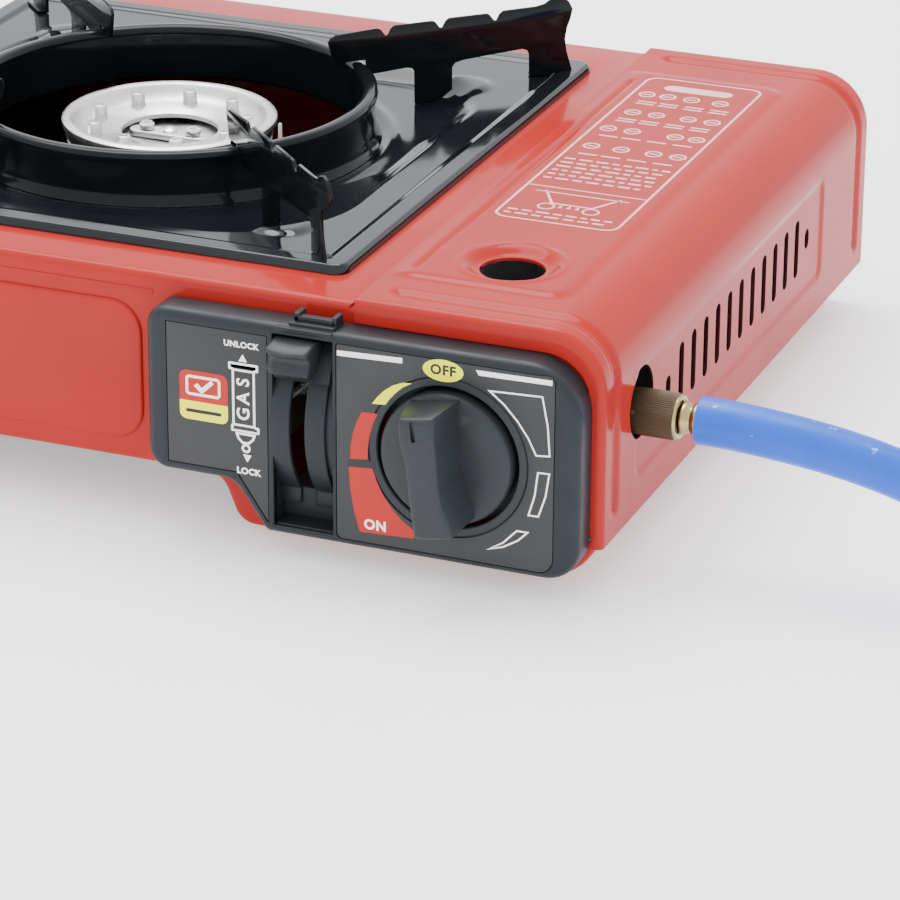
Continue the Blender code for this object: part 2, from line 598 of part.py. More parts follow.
def make_lever():
    y, z = LEVER_AXIS
    low, high = LEVER_X
    pivot = (0, y, z)
    boss = slab("lever", [arc(LEVER_AXIS, 6, 0, 340, 17), arc(LEVER_AXIS, 2, 0, 330, 11)], "YZ", low, high, BLACK_PLASTIC,
                origin=pivot)
    tilt = Matrix.Translation((0, y, z)) @ Matrix.Rotation(-radians(LEVER_REST), 4, "X") @ Matrix.Translation((0, -y, -z))
    arm = slab("lever_arm", [[(y - 37, z - 3.5), (y - 4, z - 3.5), (y - 4, z + 3.5), (y - 37, z + 3.5)]], "YZ",
               low + 0.01, high - 0.01, turn=tilt)
    peg = [(y + LINK_REACH * cos(a), z + LINK_REACH * sin(a)) for a in (radians(90 - LEVER_TURN / 2),)][0]
    finger = slab("lever_finger", [[(y - 4, z + 3), (y + 4, z + 3), (peg[0] + 2, peg[1] + 2), (peg[0] - 3, peg[1] + 2)]],
                  "YZ", low + 0.02, high - 0.02)
    pegs = rod("lever_peg", "X", (low + 1, *peg), 8, PEG_RADIUS, sides=16)
    shoe = slab("lever_shoe", [channel_sector(35.2, 38.6, 28, 50, 5)], "YZ", CHANNEL[0] + 0.8, CHANNEL[1] - 0.8)
    thumb = slab("lever_thumb", [[
        (-151.5, 67.4), (-160.6, 66.9), (-161.2, 68), (-159.9, 71.6), (-161.3, 75.3), (-160.6, 76.3), (-152, 77.6), (-149, 75.5),
    ]], "YZ", 62.4, 77.4)
    join(boss, arm, finger, pegs, shoe, thumb)

    ear = [(-139.5, z - 8), (-139.5, z + 3.8), (-118, z + 3.8), (-115, z + 2), (-115, z - 4), (-118, z - 8)]
    hole = arc(LEVER_AXIS, 1.9, 0, 330, 11)
    for name, side, near in (("left", -1, CHANNEL[0]), ("right", 1, high + 1.5)):
        edges = (near - 1.2, near)
        bracket = slab(f"lever_bracket_{name}", [ear, hole], "YZ", *edges, GALVANISED)
        foot_edges = (edges[0] - 8, edges[1]) if side < 0 else (edges[0], edges[1] + 8)
        join(bracket, block(f"bracket_foot_{name}", (foot_edges[0], -139.49, z - 7.9), (foot_edges[1], -138.3, z + 3.7)))
    rod("lever_pin", "X", (57.2, y, z), high + 1.5 - 57.2, 1.6, GALVANISED, origin=pivot, sides=16)


# Cartridge bay


def make_bay():
    link = LEVER_X[1] + 2.3
    middle = LEVER_AXIS[0] + LINK_REACH * sin(radians(LEVER_TURN / 2))
    front = middle - 4.7
    carrier = block("cartridge_carrier", (92, -96, 7), (156, 92, 8), GALVANISED)
    join(
        carrier,
        block("carrier_stop", (100, 91, 7.01), (148, 92.2, 42)),
        block("carrier_strip", (92.01, front, 7.02), (100, -95, 7.98)),
        block("carrier_cross", (link, front + 0.1, 7.03), (99, front + 9, 7.97)),
        block("carrier_link", (link + 0.01, front + 0.2, 7.5), (link + 1.2, front + 9.2, 58)),
    )
    cut(carrier, block("link_slot", (link - 3, middle - PEG_RADIUS - 0.45, 48), (link + 5, middle + PEG_RADIUS + 0.45, 56.5)))
    for name, low in (("left", 98), ("right", 143)):
        block(f"carrier_rail_{name}", (low, -80, 4.5), (low + 4, 80, 6.7), GALVANISED)


def make_regulator():
    x, z = KNOB_AXIS
    body = rod("regulator_body", "Y", (x, -138, z), 26.5, 21, CAST_ALUMINIUM)
    mouth = rod("regulator_mouth", "Y", (x, -112, z), 15, 25)
    inlet_boss = rod("inlet_boss", "X", (141, *INLET), 17, 7.5, sides=24)
    outlet_boss = rod("outlet_boss", "X", (91, -104.5, z), 10, 6.5, sides=24)
    join(body, mouth, inlet_boss, outlet_boss)
    cut(
        body,
        rod("mouth_bore", "Y", (x, -109, z), 14, 18),
        rod("stem_bore", "Y", (x, -140, z), 8, 3.4, sides=16),
    )
    turned("inlet_fitting", [(0, 12.5), (4.5, 12.5), (4.5, 3.5), (7, 3.5), (7, 0), (0, 0)], BRASS,
           (158.3, *INLET), axis="X", steps=24)
    piezo = block("piezo_igniter", (94, -137, 71.5), (105, -113, 82), BLACK_PLASTIC)
    corner = piezo.modifiers.new("edges", "BEVEL")
    corner.width = 0.0012
    corner.segments = 2


def make_gas_path():
    x, y = BURNER
    reach = 10.5
    bearing = atan2(-104.5 - y, 90.5 - x)
    end = (x + reach * cos(bearing), y + reach * sin(bearing), 61)
    mixing = smooth_route([
        (90.5, -104.5, 45.3), (76.4, -104.5, 45.3), (58, -87, 47), (10, -47, 55), (-18, -27, 60), end,
    ], 14)
    tube("mixing_tube", mixing, 6.5, GALVANISED)
    lead = smooth_route([
        (99, -112.5, 77), (99, -106, 77), (91, -98, 73.5), (80, -93, 72), (60, -80, 68), (30, -50, 52), (8, -18, 46),
        (0.5, -9.7, 50), (0.5, -9.7, 55.5),
    ], 6)
    tube("ignition_lead", lead, 1.2, RUBBER, resolution=1)
    turned("electrode", [
        (0, 95.5), (0.7, 95.5), (0.7, 88), (2.1, 87), (2.1, 73.6), (3.4, 73.6), (3.4, 72.5), (2.1, 72.5), (2.1, 56), (0, 56),
    ], CERAMIC, (x + 43, y, 0), steps=12)


# Hose


def hose_route():
    """From the barb along +X, sagging to the table, then straight to where the coil begins."""
    y, z = INLET
    table = HOSE_RADIUS + GAP
    return [
        (HOSE_START, y, z), (200, y, z - 0.1), (212, y, z - 0.8), (224, y, z - 1.9), (236, y, z - 3.4), (248, y, z - 5.6),
        (260, y, z - 8.6), (272, y, z - 12.6), (284, y, z - 17.6), (296, y, z - 23.2), (308, y, z - 28.9),
        (320, y, z - 33.9), (332, y, z - 37.8), (344, y, z - 40.6), (356, y, table + 0.6), (366, y, table),
        (376.6, y, table),
    ]


def make_hose():
    y, z = INLET
    turned("hose_nut", [
        (0, 18.5), (NUT_RADIUS - 0.8, 18.5), (NUT_RADIUS, 17.7), (NUT_RADIUS, 0.6), (NUT_RADIUS - 0.6, 0), (4.8, 0),
        (4.8, 4.4), (0, 4.4),
    ], DARK_BRASS, (167, y, z), axis="X", steps=32)
    turned("hose_barb", [(0, 4.6), (5, 4.6), (5.5, 4.1), (5.5, 0), (0, 0)], BRASS, (185.8, y, z), axis="X", steps=24)
    tube("hose", smooth_route(hose_route(), 12), HOSE_RADIUS, BLUE_HOSE, resolution=2)

    inner, outer = COIL_MIDDLE - HOSE_RADIUS, COIL_MIDDLE + HOSE_RADIUS
    layer = 2 * HOSE_RADIUS
    centre = (COIL_CENTRE_X, y + COIL_MIDDLE, 0)
    coil = turned("hose_coil", [
        (inner + 3, GAP + 2 * layer), (outer - 3, GAP + 2 * layer), (outer, 2 * layer - 3), (outer, 3.3), (outer - 3, GAP),
        (inner + 3, GAP), (inner, 3.3), (inner, 2 * layer - 3),
    ], BLUE_HOSE, centre, closed=True, steps=48)
    end = COIL_END_ANGLE
    wedge = [centre[:2]] + arc(centre, 1.3 * outer, end, end + 34, 6)
    cut(coil, slab("coil_end_gap", [wedge], "XY", layer + GAP, 3 * layer))

    ahead = radians(end + 90)
    turn = radians(end + 0.7)
    start = Vector((centre[0] + COIL_MIDDLE * cos(turn), centre[1] + COIL_MIDDLE * sin(turn), 2 * GAP + 1.5 * layer))
    fitting = turned("hose_end_fitting", [
        (0, 40), (4.5, 40), (5, 39), (5, 25), (7.6, 24), (7.6, 8), (6, 7), (6, 0), (0, 0),
    ], BRASS, start, axis="X", steps=24)
    fitting.rotation_euler = (0, pi / 2, ahead + radians(5))


make_casing()
make_base()
make_feet()
make_burner()
make_tray()
make_pan_supports()
make_lid()
make_panel()
make_knob()
make_lever()
make_bay()
make_regulator()
make_gas_path()
make_hose()
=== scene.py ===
"""The looks of the camping stove: pressed red sheet, black enamel, moulded controls and a blue hose.

Sizes are millimetres in the stove's own figures: X to the right, Y to the back from the middle of
the lid's depth, Z up from the table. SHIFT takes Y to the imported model's frame.
"""
import json
from math import cos, hypot, pi, radians, sin, sqrt

import bmesh
import bpy
import numpy as np
from mathutils import Matrix, Vector

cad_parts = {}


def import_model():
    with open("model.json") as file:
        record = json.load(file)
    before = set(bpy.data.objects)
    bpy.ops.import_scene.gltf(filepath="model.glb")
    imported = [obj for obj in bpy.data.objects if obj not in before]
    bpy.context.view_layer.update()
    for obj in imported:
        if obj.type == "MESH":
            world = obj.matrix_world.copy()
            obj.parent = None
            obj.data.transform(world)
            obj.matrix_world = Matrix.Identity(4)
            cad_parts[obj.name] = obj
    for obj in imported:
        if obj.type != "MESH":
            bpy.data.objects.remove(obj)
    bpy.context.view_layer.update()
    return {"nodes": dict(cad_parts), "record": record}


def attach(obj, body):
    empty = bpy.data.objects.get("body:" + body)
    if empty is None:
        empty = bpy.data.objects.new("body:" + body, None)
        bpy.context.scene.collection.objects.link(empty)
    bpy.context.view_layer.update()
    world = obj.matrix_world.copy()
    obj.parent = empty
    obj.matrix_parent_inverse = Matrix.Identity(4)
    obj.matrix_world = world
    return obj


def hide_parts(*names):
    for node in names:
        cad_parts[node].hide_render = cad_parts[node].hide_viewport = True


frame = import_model()

MM = 0.001
SHIFT = 16.25

BODY, LID, KNOB, LEVER, TRAY = "stove_body", "lid", "control_knob", "lock_lever", "tray_set"

HALF_LENGTH = 171.0
LID_HALF_DEPTH = 142.5
LID_TOP = 89.5
LID_LEFT = 85.6
LID_CORNER = 20.0
LID_HOLE = (121.2, -94.6)
LID_HOLE_RADIUS = 10.9
HOSE_HOLE_RADIUS = 12.25
SLOT_FIRST, SLOT_PITCH, SLOT_COUNT = -65.9, 12.52, 11
SLOT_WIDTH, SLOT_HEIGHT, SLOT_MIDDLE = 4.8, 21.7, 49
SLOT_ENDS = (-78.9, 71.3)
HINGE = (166, 20)
CASE_HALF_DEPTH = 141.0
CASE_TOP = 87.5
CASE_SHEET = 1.2
CASE_RIGHT = 169.2
LEFT_FLOOR = 19.7
BAY_FLOOR = 3.0
SEAM = 84.4
BURNER = (-42.5, -9.7)
BURNER_TOP = 93.5
TRAY_SIDE = 234.0
TRAY_CENTRE = (-44.2, -3.7)
TRAY_RIM = 91.0
TRAY_LEDGE = 89.8
DISH_FLOOR = 85.1
DISH_HALF = 95.5
DISH_CORNER = 46.0
RING_TOP = 104.0
PANEL_FRONT = -154.0
PANEL_BACK = -142.8
KNOB_AXIS = (122.5, 45.3)
KNOB_RADIUS = 22.45
KNOB_FACE = -157.0
GRIP_FRONT = -175.0
LEVER_AXIS = (-121.0, 46.0)
CHANNEL = (61.9, 83.0)
CHANNEL_RADIUS = 34.5
STRIP_RIGHT = 80.6
LEVER_X = (68.9, 72.9)
LEVER_REST = 39.0
LEVER_TURN = 70.0
LINK_REACH = 8.0
INLET = (-105.9, 50.7)
NUT_START = 167
BARB_START = 185.8
HOSE_HOLE = (-106.1, 53.9)
HOSE_RADIUS = 8.0
HOSE_START = 190.7
COIL_CENTRE_X = 434.0
COIL_MIDDLE = 92.0
COIL_END_ANGLE = 140.0
GAP = 0.3

random = np.random.default_rng(7)


# Materials


def shader_of(name, colour, roughness, metallic=0.0, coat=0.0, coat_roughness=0.05, specular=0.5):
    made = bpy.data.materials.new(name)
    made.use_nodes = True
    shader = made.node_tree.nodes["Principled BSDF"]
    shader.inputs["Base Color"].default_value = (*colour, 1)
    shader.inputs["Roughness"].default_value = roughness
    shader.inputs["Metallic"].default_value = metallic
    shader.inputs["Coat Weight"].default_value = coat
    shader.inputs["Coat Roughness"].default_value = coat_roughness
    shader.inputs["Specular IOR Level"].default_value = specular
    return made, shader


def noise(tree, scale, detail=3.0, stretch=None):
    """A noise texture in object space, in cycles per metre."""
    nodes, links = tree.nodes, tree.links
    texture = nodes.new("ShaderNodeTexNoise")
    texture.inputs["Scale"].default_value = scale
    texture.inputs["Detail"].default_value = detail
    place = nodes.new("ShaderNodeTexCoord")
    if stretch:
        sized = nodes.new("ShaderNodeMapping")
        sized.inputs["Scale"].default_value = stretch
        links.new(place.outputs["Object"], sized.inputs["Vector"])
        links.new(sized.outputs["Vector"], texture.inputs["Vector"])
    else:
        links.new(place.outputs["Object"], texture.inputs["Vector"])
    return texture.outputs["Fac"]


def remap(tree, source, low, high, from_low=0.35, from_high=0.65):
    node = tree.nodes.new("ShaderNodeMapRange")
    node.inputs["From Min"].default_value = from_low
    node.inputs["From Max"].default_value = from_high
    node.inputs["To Min"].default_value = low
    node.inputs["To Max"].default_value = high
    tree.links.new(source, node.inputs["Value"])
    return node.outputs["Result"]


def blend(tree, factor, first, second):
    """A node that mixes two colours."""
    mix = tree.nodes.new("ShaderNodeMix")
    mix.data_type = "RGBA"
    mix.inputs["A"].default_value = (*first, 1)
    mix.inputs["B"].default_value = (*second, 1)
    tree.links.new(factor, mix.inputs["Factor"])
    return mix


def finish_of(
    name, colour, roughness, metallic=0.0, coat=0.0, coat_roughness=0.05, grain=400, bump=0.02, depth=0.0002,
    mottle=0.08, wear=0.06, stretch=None, worn=None, specular=0.5,
):
    """A surface whose colour, roughness and height all vary a little.

    mottle is how far the colour strays, wear how far the roughness does, and worn, if given, is a
    second colour that shows in small scuffs.
    """
    made, shader = shader_of(name, colour, roughness, metallic, coat, coat_roughness, specular)
    tree = made.node_tree
    broad = noise(tree, 22, 4)
    dark, light = [c * (1 - mottle) for c in colour], [min(1, c * (1 + mottle)) for c in colour]
    mix = blend(tree, remap(tree, broad, 0, 1), dark, light)
    if worn:
        over = blend(tree, remap(tree, noise(tree, 190, 6), 0, 1, 0.68, 0.74), dark, worn)
        tree.links.new(mix.outputs["Result"], over.inputs["A"])
        mix = over
    tree.links.new(mix.outputs["Result"], shader.inputs["Base Color"])
    rough = remap(tree, noise(tree, 60, 5), max(0.02, roughness - wear), min(1, roughness + wear))
    tree.links.new(rough, shader.inputs["Roughness"])
    relief = tree.nodes.new("ShaderNodeBump")
    relief.inputs["Strength"].default_value = bump
    relief.inputs["Distance"].default_value = depth
    tree.links.new(noise(tree, grain, 3, stretch), relief.inputs["Height"])
    tree.links.new(relief.outputs["Normal"], shader.inputs["Normal"])
    return made


RED = finish_of(
    "red_paint", (0.34, 0.020, 0.016), 0.20, coat=0.15, coat_roughness=0.08, grain=260, bump=0.05, mottle=0.04,
    wear=0.05, specular=0.03,
)
# painted shade: a darkened copy of the red paint for inner faces, slot walls and hidden pieces
RED_PAINTED_SHADE = finish_of("red_painted_shade", (0.035, 0.003, 0.003), 0.6, grain=300, bump=0.1, mottle=0.15, specular=0.2)
ENAMEL = finish_of(
    "black_enamel", (0.005, 0.006, 0.008), 0.10, grain=160, bump=0.06, mottle=0.2, wear=0.03, specular=0.30,
)
ENAMEL_RING = finish_of(
    "black_enamel_ring", (0.004, 0.005, 0.006), 0.10, grain=160, bump=0.06, mottle=0.2, wear=0.03, specular=0.14,
)
PLASTIC = finish_of(
    "black_plastic", (0.013, 0.016, 0.019), 0.42, grain=2600, bump=0.25, mottle=0.08, wear=0.06, specular=0.2,
)
PLASTIC_EDGE = finish_of(
    "black_plastic_worn", (0.020, 0.023, 0.026), 0.38, grain=2600, bump=0.25, mottle=0.1, wear=0.06, specular=0.2,
    worn=(0.030, 0.034, 0.038),
)
SHEET_GREY = finish_of(
    "decal_grey", (0.032, 0.033, 0.034), 0.40, grain=1500, bump=0.1, mottle=0.05, wear=0.05, specular=0.2,
)


def ink_of(name, colour, roughness=0.45, mottle=0.03, specular=0.3):
    return finish_of(name, colour, roughness, grain=900, bump=0.1, mottle=mottle, specular=specular)


WHITE_PRINT = ink_of("white_print", (0.90, 0.89, 0.86))
LABEL_PRINT = ink_of("label_print", (0.78, 0.42, 0.39), mottle=0.06)
YELLOW_PRINT = ink_of("yellow_print", (0.84, 0.87, 0.01), specular=0.1)
RED_PRINT = ink_of("red_print", (0.42, 0.018, 0.014), 0.42, 0.04, 0.2)
BLACK_PRINT = ink_of("black_print", (0.012, 0.012, 0.013), 0.4, 0.05)
ZINC = finish_of("galvanised", (0.50, 0.51, 0.52), 0.36, metallic=1.0, grain=700, bump=0.15, mottle=0.12, wear=0.1)
CAST = finish_of(
    "cast_aluminium", (0.60, 0.60, 0.59), 0.36, metallic=1.0, grain=1500, bump=0.35, depth=0.0003, mottle=0.1,
    wear=0.12,
)
BRIGHT = finish_of("bright_metal", (0.75, 0.74, 0.72), 0.22, metallic=1.0, grain=1500, bump=0.1, mottle=0.05)
DULL_BRASS = finish_of(
    "dark_brass", (0.060, 0.038, 0.018), 0.42, metallic=0.6, grain=900, bump=0.2, mottle=0.25, wear=0.1,
    worn=(0.22, 0.16, 0.07),
)
YELLOW_BRASS = finish_of(
    "brass", (0.34, 0.27, 0.13), 0.3, metallic=1.0, grain=900, bump=0.12, mottle=0.15, wear=0.08,
)
RUBBER = finish_of("rubber", (0.02, 0.02, 0.021), 0.75, grain=1500, bump=0.3, mottle=0.15)
CERAMIC = finish_of("ceramic", (0.70, 0.68, 0.62), 0.3, coat=0.3, grain=900, bump=0.05, mottle=0.04)
HOSE = finish_of(
    "blue_hose", (0.004, 0.085, 0.55), 0.38, grain=330, bump=0.22, depth=0.0005, mottle=0.10, wear=0.08,
    worn=(0.25, 0.45, 0.95), specular=0.3,
)


# Shapes


def link(made):
    bpy.context.scene.collection.objects.link(made)


def evaluated(thing):
    """A new mesh of what a curve or an object with modifiers comes to."""
    bpy.context.view_layer.update()
    return bpy.data.meshes.new_from_object(thing.evaluated_get(bpy.context.evaluated_depsgraph_get()))


def flattened(curve):
    """The points and faces that fill a flat curve."""
    flat = bpy.data.objects.new(curve.name, curve)
    link(flat)
    mesh = evaluated(flat)
    bpy.data.objects.remove(flat)
    points, faces = np.array([v.co for v in mesh.vertices]), [tuple(p.vertices) for p in mesh.polygons]
    bpy.data.meshes.remove(mesh)
    return points, faces


def hand_in(made, node=None, body=None):
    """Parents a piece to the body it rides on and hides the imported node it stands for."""
    if body:
        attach(made, body)
    if node:
        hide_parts(node)


def world(points):
    """Stove millimetres to the frame's metres."""
    return (np.asarray(points, float) + (0, SHIFT, 0)) * MM


def piece(name, vertices, faces, paint, body, smooth=35, outward=True):
    mesh = bpy.data.meshes.new(name)
    mesh.from_pydata([tuple(v) for v in world(vertices)], [], faces)
    if outward:
        shape = bmesh.new()
        shape.from_mesh(mesh)
        bmesh.ops.remove_doubles(shape, verts=shape.verts, dist=1e-7)
        bmesh.ops.recalc_face_normals(shape, faces=shape.faces)
        shape.to_mesh(mesh)
        shape.free()
    return add(name, mesh, paint, body, smooth)


def add(name, mesh, paint, body, smooth=35):
    if paint:
        mesh.materials.clear()
        mesh.materials.append(paint)
    made = bpy.data.objects.new(name, mesh)
    link(made)
    soften(made, smooth)
    if body:
        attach(made, body)
    return made


def soften(made, angle=35):
    if angle:
        made.data.shade_smooth()
        made.data.set_sharp_from_angle(angle=radians(angle))


def grid_faces(rows, columns, close_rows=False, close_columns=False):
    faces = []
    for i in range(rows - (not close_rows)):
        here, ahead = i * columns, ((i + 1) % rows) * columns
        for j in range(columns - (not close_columns)):
            k = (j + 1) % columns
            faces.append((here + j, here + k, ahead + k, ahead + j))
    return faces


def loft(name, rings, paint=None, body=None, smooth=35, caps=True, close=False):
    """A skin over rings of points; each ring closes on itself, and caps fill the two ends."""
    rings = [np.asarray(ring, float) for ring in rings]
    count = len(rings[0])
    faces = grid_faces(len(rings), count, close, True)
    if caps and not close:
        faces += [tuple(range(count)), tuple((len(rings) - 1) * count + k for k in range(count))]
    return piece(name, np.concatenate(rings), faces, paint, body, smooth)


def turned(name, profile, centre, paint=None, body=None, axis="Z", steps=96, close=False, ripple=None, smooth=35):
    """(radius, height) points turned about an axis; ripple(angle, height) scales the radius."""
    rings = []
    for radius, height in profile:
        radius = max(radius, 0.0005)
        ring = []
        for k in range(steps):
            a = 2 * pi * k / steps
            r = radius * (ripple(a, height) if ripple else 1)
            u, v = r * cos(a), r * sin(a)
            ring.append({"X": (height, u, v), "Y": (u, height, v), "Z": (u, v, height)}[axis])
        rings.append(np.array(ring) + np.array(centre))
    return loft(name, rings, paint, body, smooth, caps=not close, close=close)


def arc(centre, radius, start, end, steps):
    angles = [radians(start + (end - start) * i / steps) for i in range(steps + 1)]
    return [(centre[0] + radius * cos(a), centre[1] + radius * sin(a)) for a in angles]


def rounded(corners, steps=6):
    """A closed outline whose corners, given as (u, v, radius), are filled with arcs."""
    outline = []
    for i, (u, v, radius) in enumerate(corners):
        here = Vector((u, v))
        if radius <= 0:
            outline.append((u, v))
            continue
        back = (Vector(corners[i - 1][:2]) - here).normalized()
        ahead = (Vector(corners[(i + 1) % len(corners)][:2]) - here).normalized()
        half = back.angle(ahead) / 2
        centre = here + (back + ahead).normalized() * (radius / sin(half))
        middle = (here - centre).normalized()
        turn = 1 if back.x * ahead.y - back.y * ahead.x < 0 else -1
        for k in range(steps + 1):
            angle = turn * (pi / 2 - half) * (2 * k / steps - 1)
            x = middle.x * cos(angle) - middle.y * sin(angle)
            y = middle.x * sin(angle) + middle.y * cos(angle)
            outline.append((centre.x + radius * x, centre.y + radius * y))
    return outline


def rectangle(low, high, radius, steps=5):
    (a, b), (c, d) = low, high
    return rounded([(a, b, radius), (c, b, radius), (c, d, radius), (a, d, radius)], steps)


PLANES = {
    "XY": lambda u, v, w: (u, v, w),
    "XZ": lambda u, v, w: (u, w, v),
    "YZ": lambda u, v, w: (w, u, v),
}


def slab(name, outlines, plane, low, high, paint=None, body=None, edge=0.0, smooth=35, turn=None):
    """Flat outlines, of which the inner ones are holes, given thickness and softened edges."""
    curve = bpy.data.curves.new(name, "CURVE")
    curve.dimensions = "2D"
    curve.fill_mode = "BOTH"
    curve.extrude = (high - low) / 2 - edge
    curve.bevel_depth = edge
    curve.bevel_resolution = 1 if edge < 0.5 else 3
    curve.offset = -edge
    for outline in outlines:
        spline = curve.splines.new("POLY")
        spline.points.add(len(outline) - 1)
        for point, (u, v) in zip(spline.points, outline):
            point.co = (u, v, 0, 1)
        spline.use_cyclic_u = True
    points, faces = flattened(curve)
    lifted = np.array([PLANES[plane](u, v, w + (low + high) / 2) for u, v, w in points])
    if turn:
        lifted = np.array([turn @ Vector(p) for p in lifted])
    return piece(name, lifted, faces, paint, body, smooth)


def box(name, low, high, paint=None, body=None):
    (a, b, c), (d, e, f) = low, high
    corners = [(x, y, z) for z in (c, f) for x, y in ((a, b), (d, b), (d, e), (a, e))]
    faces = [(0, 3, 2, 1), (4, 5, 6, 7), (0, 1, 5, 4), (1, 2, 6, 5), (2, 3, 7, 6), (3, 0, 4, 7)]
    return piece(name, corners, faces, paint, body, smooth=0)


def block(name, low, high, radius, paint, edge, turn=None):
    """A box from low to high whose corners are round in plan and whose edges are eased."""
    return slab(name, [rectangle(low[:2], high[:2], radius, 3)], "XY", low[2], high[2], paint, edge=edge, turn=turn)


def baked(made):
    """Applies a piece's modifiers."""
    mesh = evaluated(made)
    made.modifiers.clear()
    made.data = mesh
    return made


def carve(made, *tools, operation="DIFFERENCE", smooth=35):
    for tool in tools:
        step = made.modifiers.new(tool.name, "BOOLEAN")
        step.operation = operation
        step.solver = "EXACT"
        step.object = tool
    baked(made)
    for tool in tools:
        bpy.data.objects.remove(tool)
    soften(made, smooth)
    return made


def ease_edges(made, width, angle=40, segments=2, smooth=45):
    step = made.modifiers.new("edges", "BEVEL")
    step.width = width * MM
    step.segments = segments
    step.limit_method = "ANGLE"
    step.angle_limit = radians(angle)
    step.use_clamp_overlap = True
    baked(made)
    soften(made, smooth)
    return made


def joined(name, parts):
    """Several meshes as one piece."""
    with bpy.context.temp_override(active_object=parts[0], selected_editable_objects=parts):
        bpy.ops.object.join()
    parts[0].name = name
    return parts[0]


def step_up(t):
    t = np.clip(t, 0, 1)
    return t * t * (3 - 2 * t)


def groove(distance, half, depth):
    return np.where(np.abs(distance) < half, -depth * (0.5 + 0.5 * np.cos(pi * distance / half)), 0)


def box_depth(u, v, centre, half, radius):
    """How far inside a rectangle with round corners (u, v) is."""
    qu, qv = np.abs(u - centre[0]) - half[0] + radius, np.abs(v - centre[1]) - half[1] + radius
    return radius - np.hypot(np.maximum(qu, 0), np.maximum(qv, 0)) - np.minimum(np.maximum(qu, qv), 0)


def spread(*stretches):
    """Values along stretches given as (start, end, step)."""
    values = []
    for start, end, step in stretches:
        count = max(1, round(abs(end - start) / step))
        values += list(np.linspace(start, end, count, endpoint=False))
    return np.array(values + [stretches[-1][1]])


# Camera and cord


def make_camera():
    camera = bpy.data.objects.new("camera", bpy.data.cameras.new("camera"))
    camera.data.lens = 168.24
    camera.data.sensor_width = 36
    camera.data.clip_start = 0.05
    yaw, pitch, roll = radians(21.85), radians(23.28), radians(0.36)
    ahead = Vector((-sin(yaw) * cos(pitch), cos(yaw) * cos(pitch), -sin(pitch)))
    right = Vector((cos(yaw), sin(yaw), 0))
    up = right.cross(ahead)
    right, up = cos(roll) * right + sin(roll) * up, cos(roll) * up - sin(roll) * right
    turn = Matrix((right, up, -ahead)).transposed().to_4x4()
    camera.matrix_world = Matrix.Translation((0.57858, -1.27281, 0.57439)) @ turn
    link(camera)
    bpy.context.scene.camera = camera


def smooth_route(points, spacing):
    """Evenly spaced points on a Catmull-Rom curve through the given points."""
    points = np.array(points, float)
    ends = np.concatenate([[2 * points[0] - points[1]], points, [2 * points[-1] - points[-2]]])
    t = np.arange(20)[:, None] / 20
    fine = [
        0.5 * (2 * b + (c - a) * t + (2 * a - 5 * b + 4 * c - d) * t**2 + (3 * b - a - 3 * c + d) * t**3)
        for a, b, c, d in zip(ends, ends[1:], ends[2:], ends[3:])
    ]
    fine = np.concatenate([*fine, points[-1:]])
    walked = np.concatenate([[0], np.cumsum(np.linalg.norm(np.diff(fine, axis=0), axis=1))])
    marks = np.linspace(0, walked[-1], max(2, round(walked[-1] / spacing)) + 1)
    return np.stack([np.interp(marks, walked, axis) for axis in fine.T], 1)


def hose_route():
    """The hose from its barb to the table, then round its coil: one turn below and most of one on top."""
    y, z = INLET
    table = HOSE_RADIUS + GAP
    drops = {
        HOSE_START: 0, 200: 0.1, 212: 0.8, 224: 1.9, 236: 3.4, 248: 5.6, 260: 8.6, 272: 12.6, 284: 17.6, 296: 23.2,
        308: 28.9, 320: 33.9, 332: 37.8, 344: 40.6,
    }
    points = [(x, y, z - drop) for x, drop in drops.items()]
    points += [(x, y, table + lift) for x, lift in ((356, 0.6), (366, 0), (376.6, 0), (395, 0), (415, 0))]
    centre = (COIL_CENTRE_X, y + COIL_MIDDLE)
    climb_from, climb_to, end = 185.0, 262.0, COIL_END_ANGLE + 360
    steps = 66
    for k in range(steps + 1):
        angle = -90 + (end + 90) * k / steps
        rise = (2 * HOSE_RADIUS + GAP) * float(step_up((angle - climb_from) / (climb_to - climb_from)))
        a = radians(angle)
        points.append((centre[0] + COIL_MIDDLE * cos(a), centre[1] + COIL_MIDDLE * sin(a), table + rise))
    return points


def make_hose():
    curve = bpy.data.curves.new("blue_gas_hose", "CURVE")
    curve.dimensions = "3D"
    curve.bevel_depth = HOSE_RADIUS * MM
    curve.bevel_resolution = 8
    curve.use_fill_caps = True
    route = smooth_route(hose_route(), 5)
    spline = curve.splines.new("POLY")
    spline.points.add(len(route) - 1)
    for point, co in zip(spline.points, world(route)):
        point.co = (*co, 1)
    curve.materials.append(HOSE)
    hose = bpy.data.objects.new("gas_hose", curve)
    link(hose)
    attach(hose, BODY)
    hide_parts("hose", "hose_coil")
    return hose


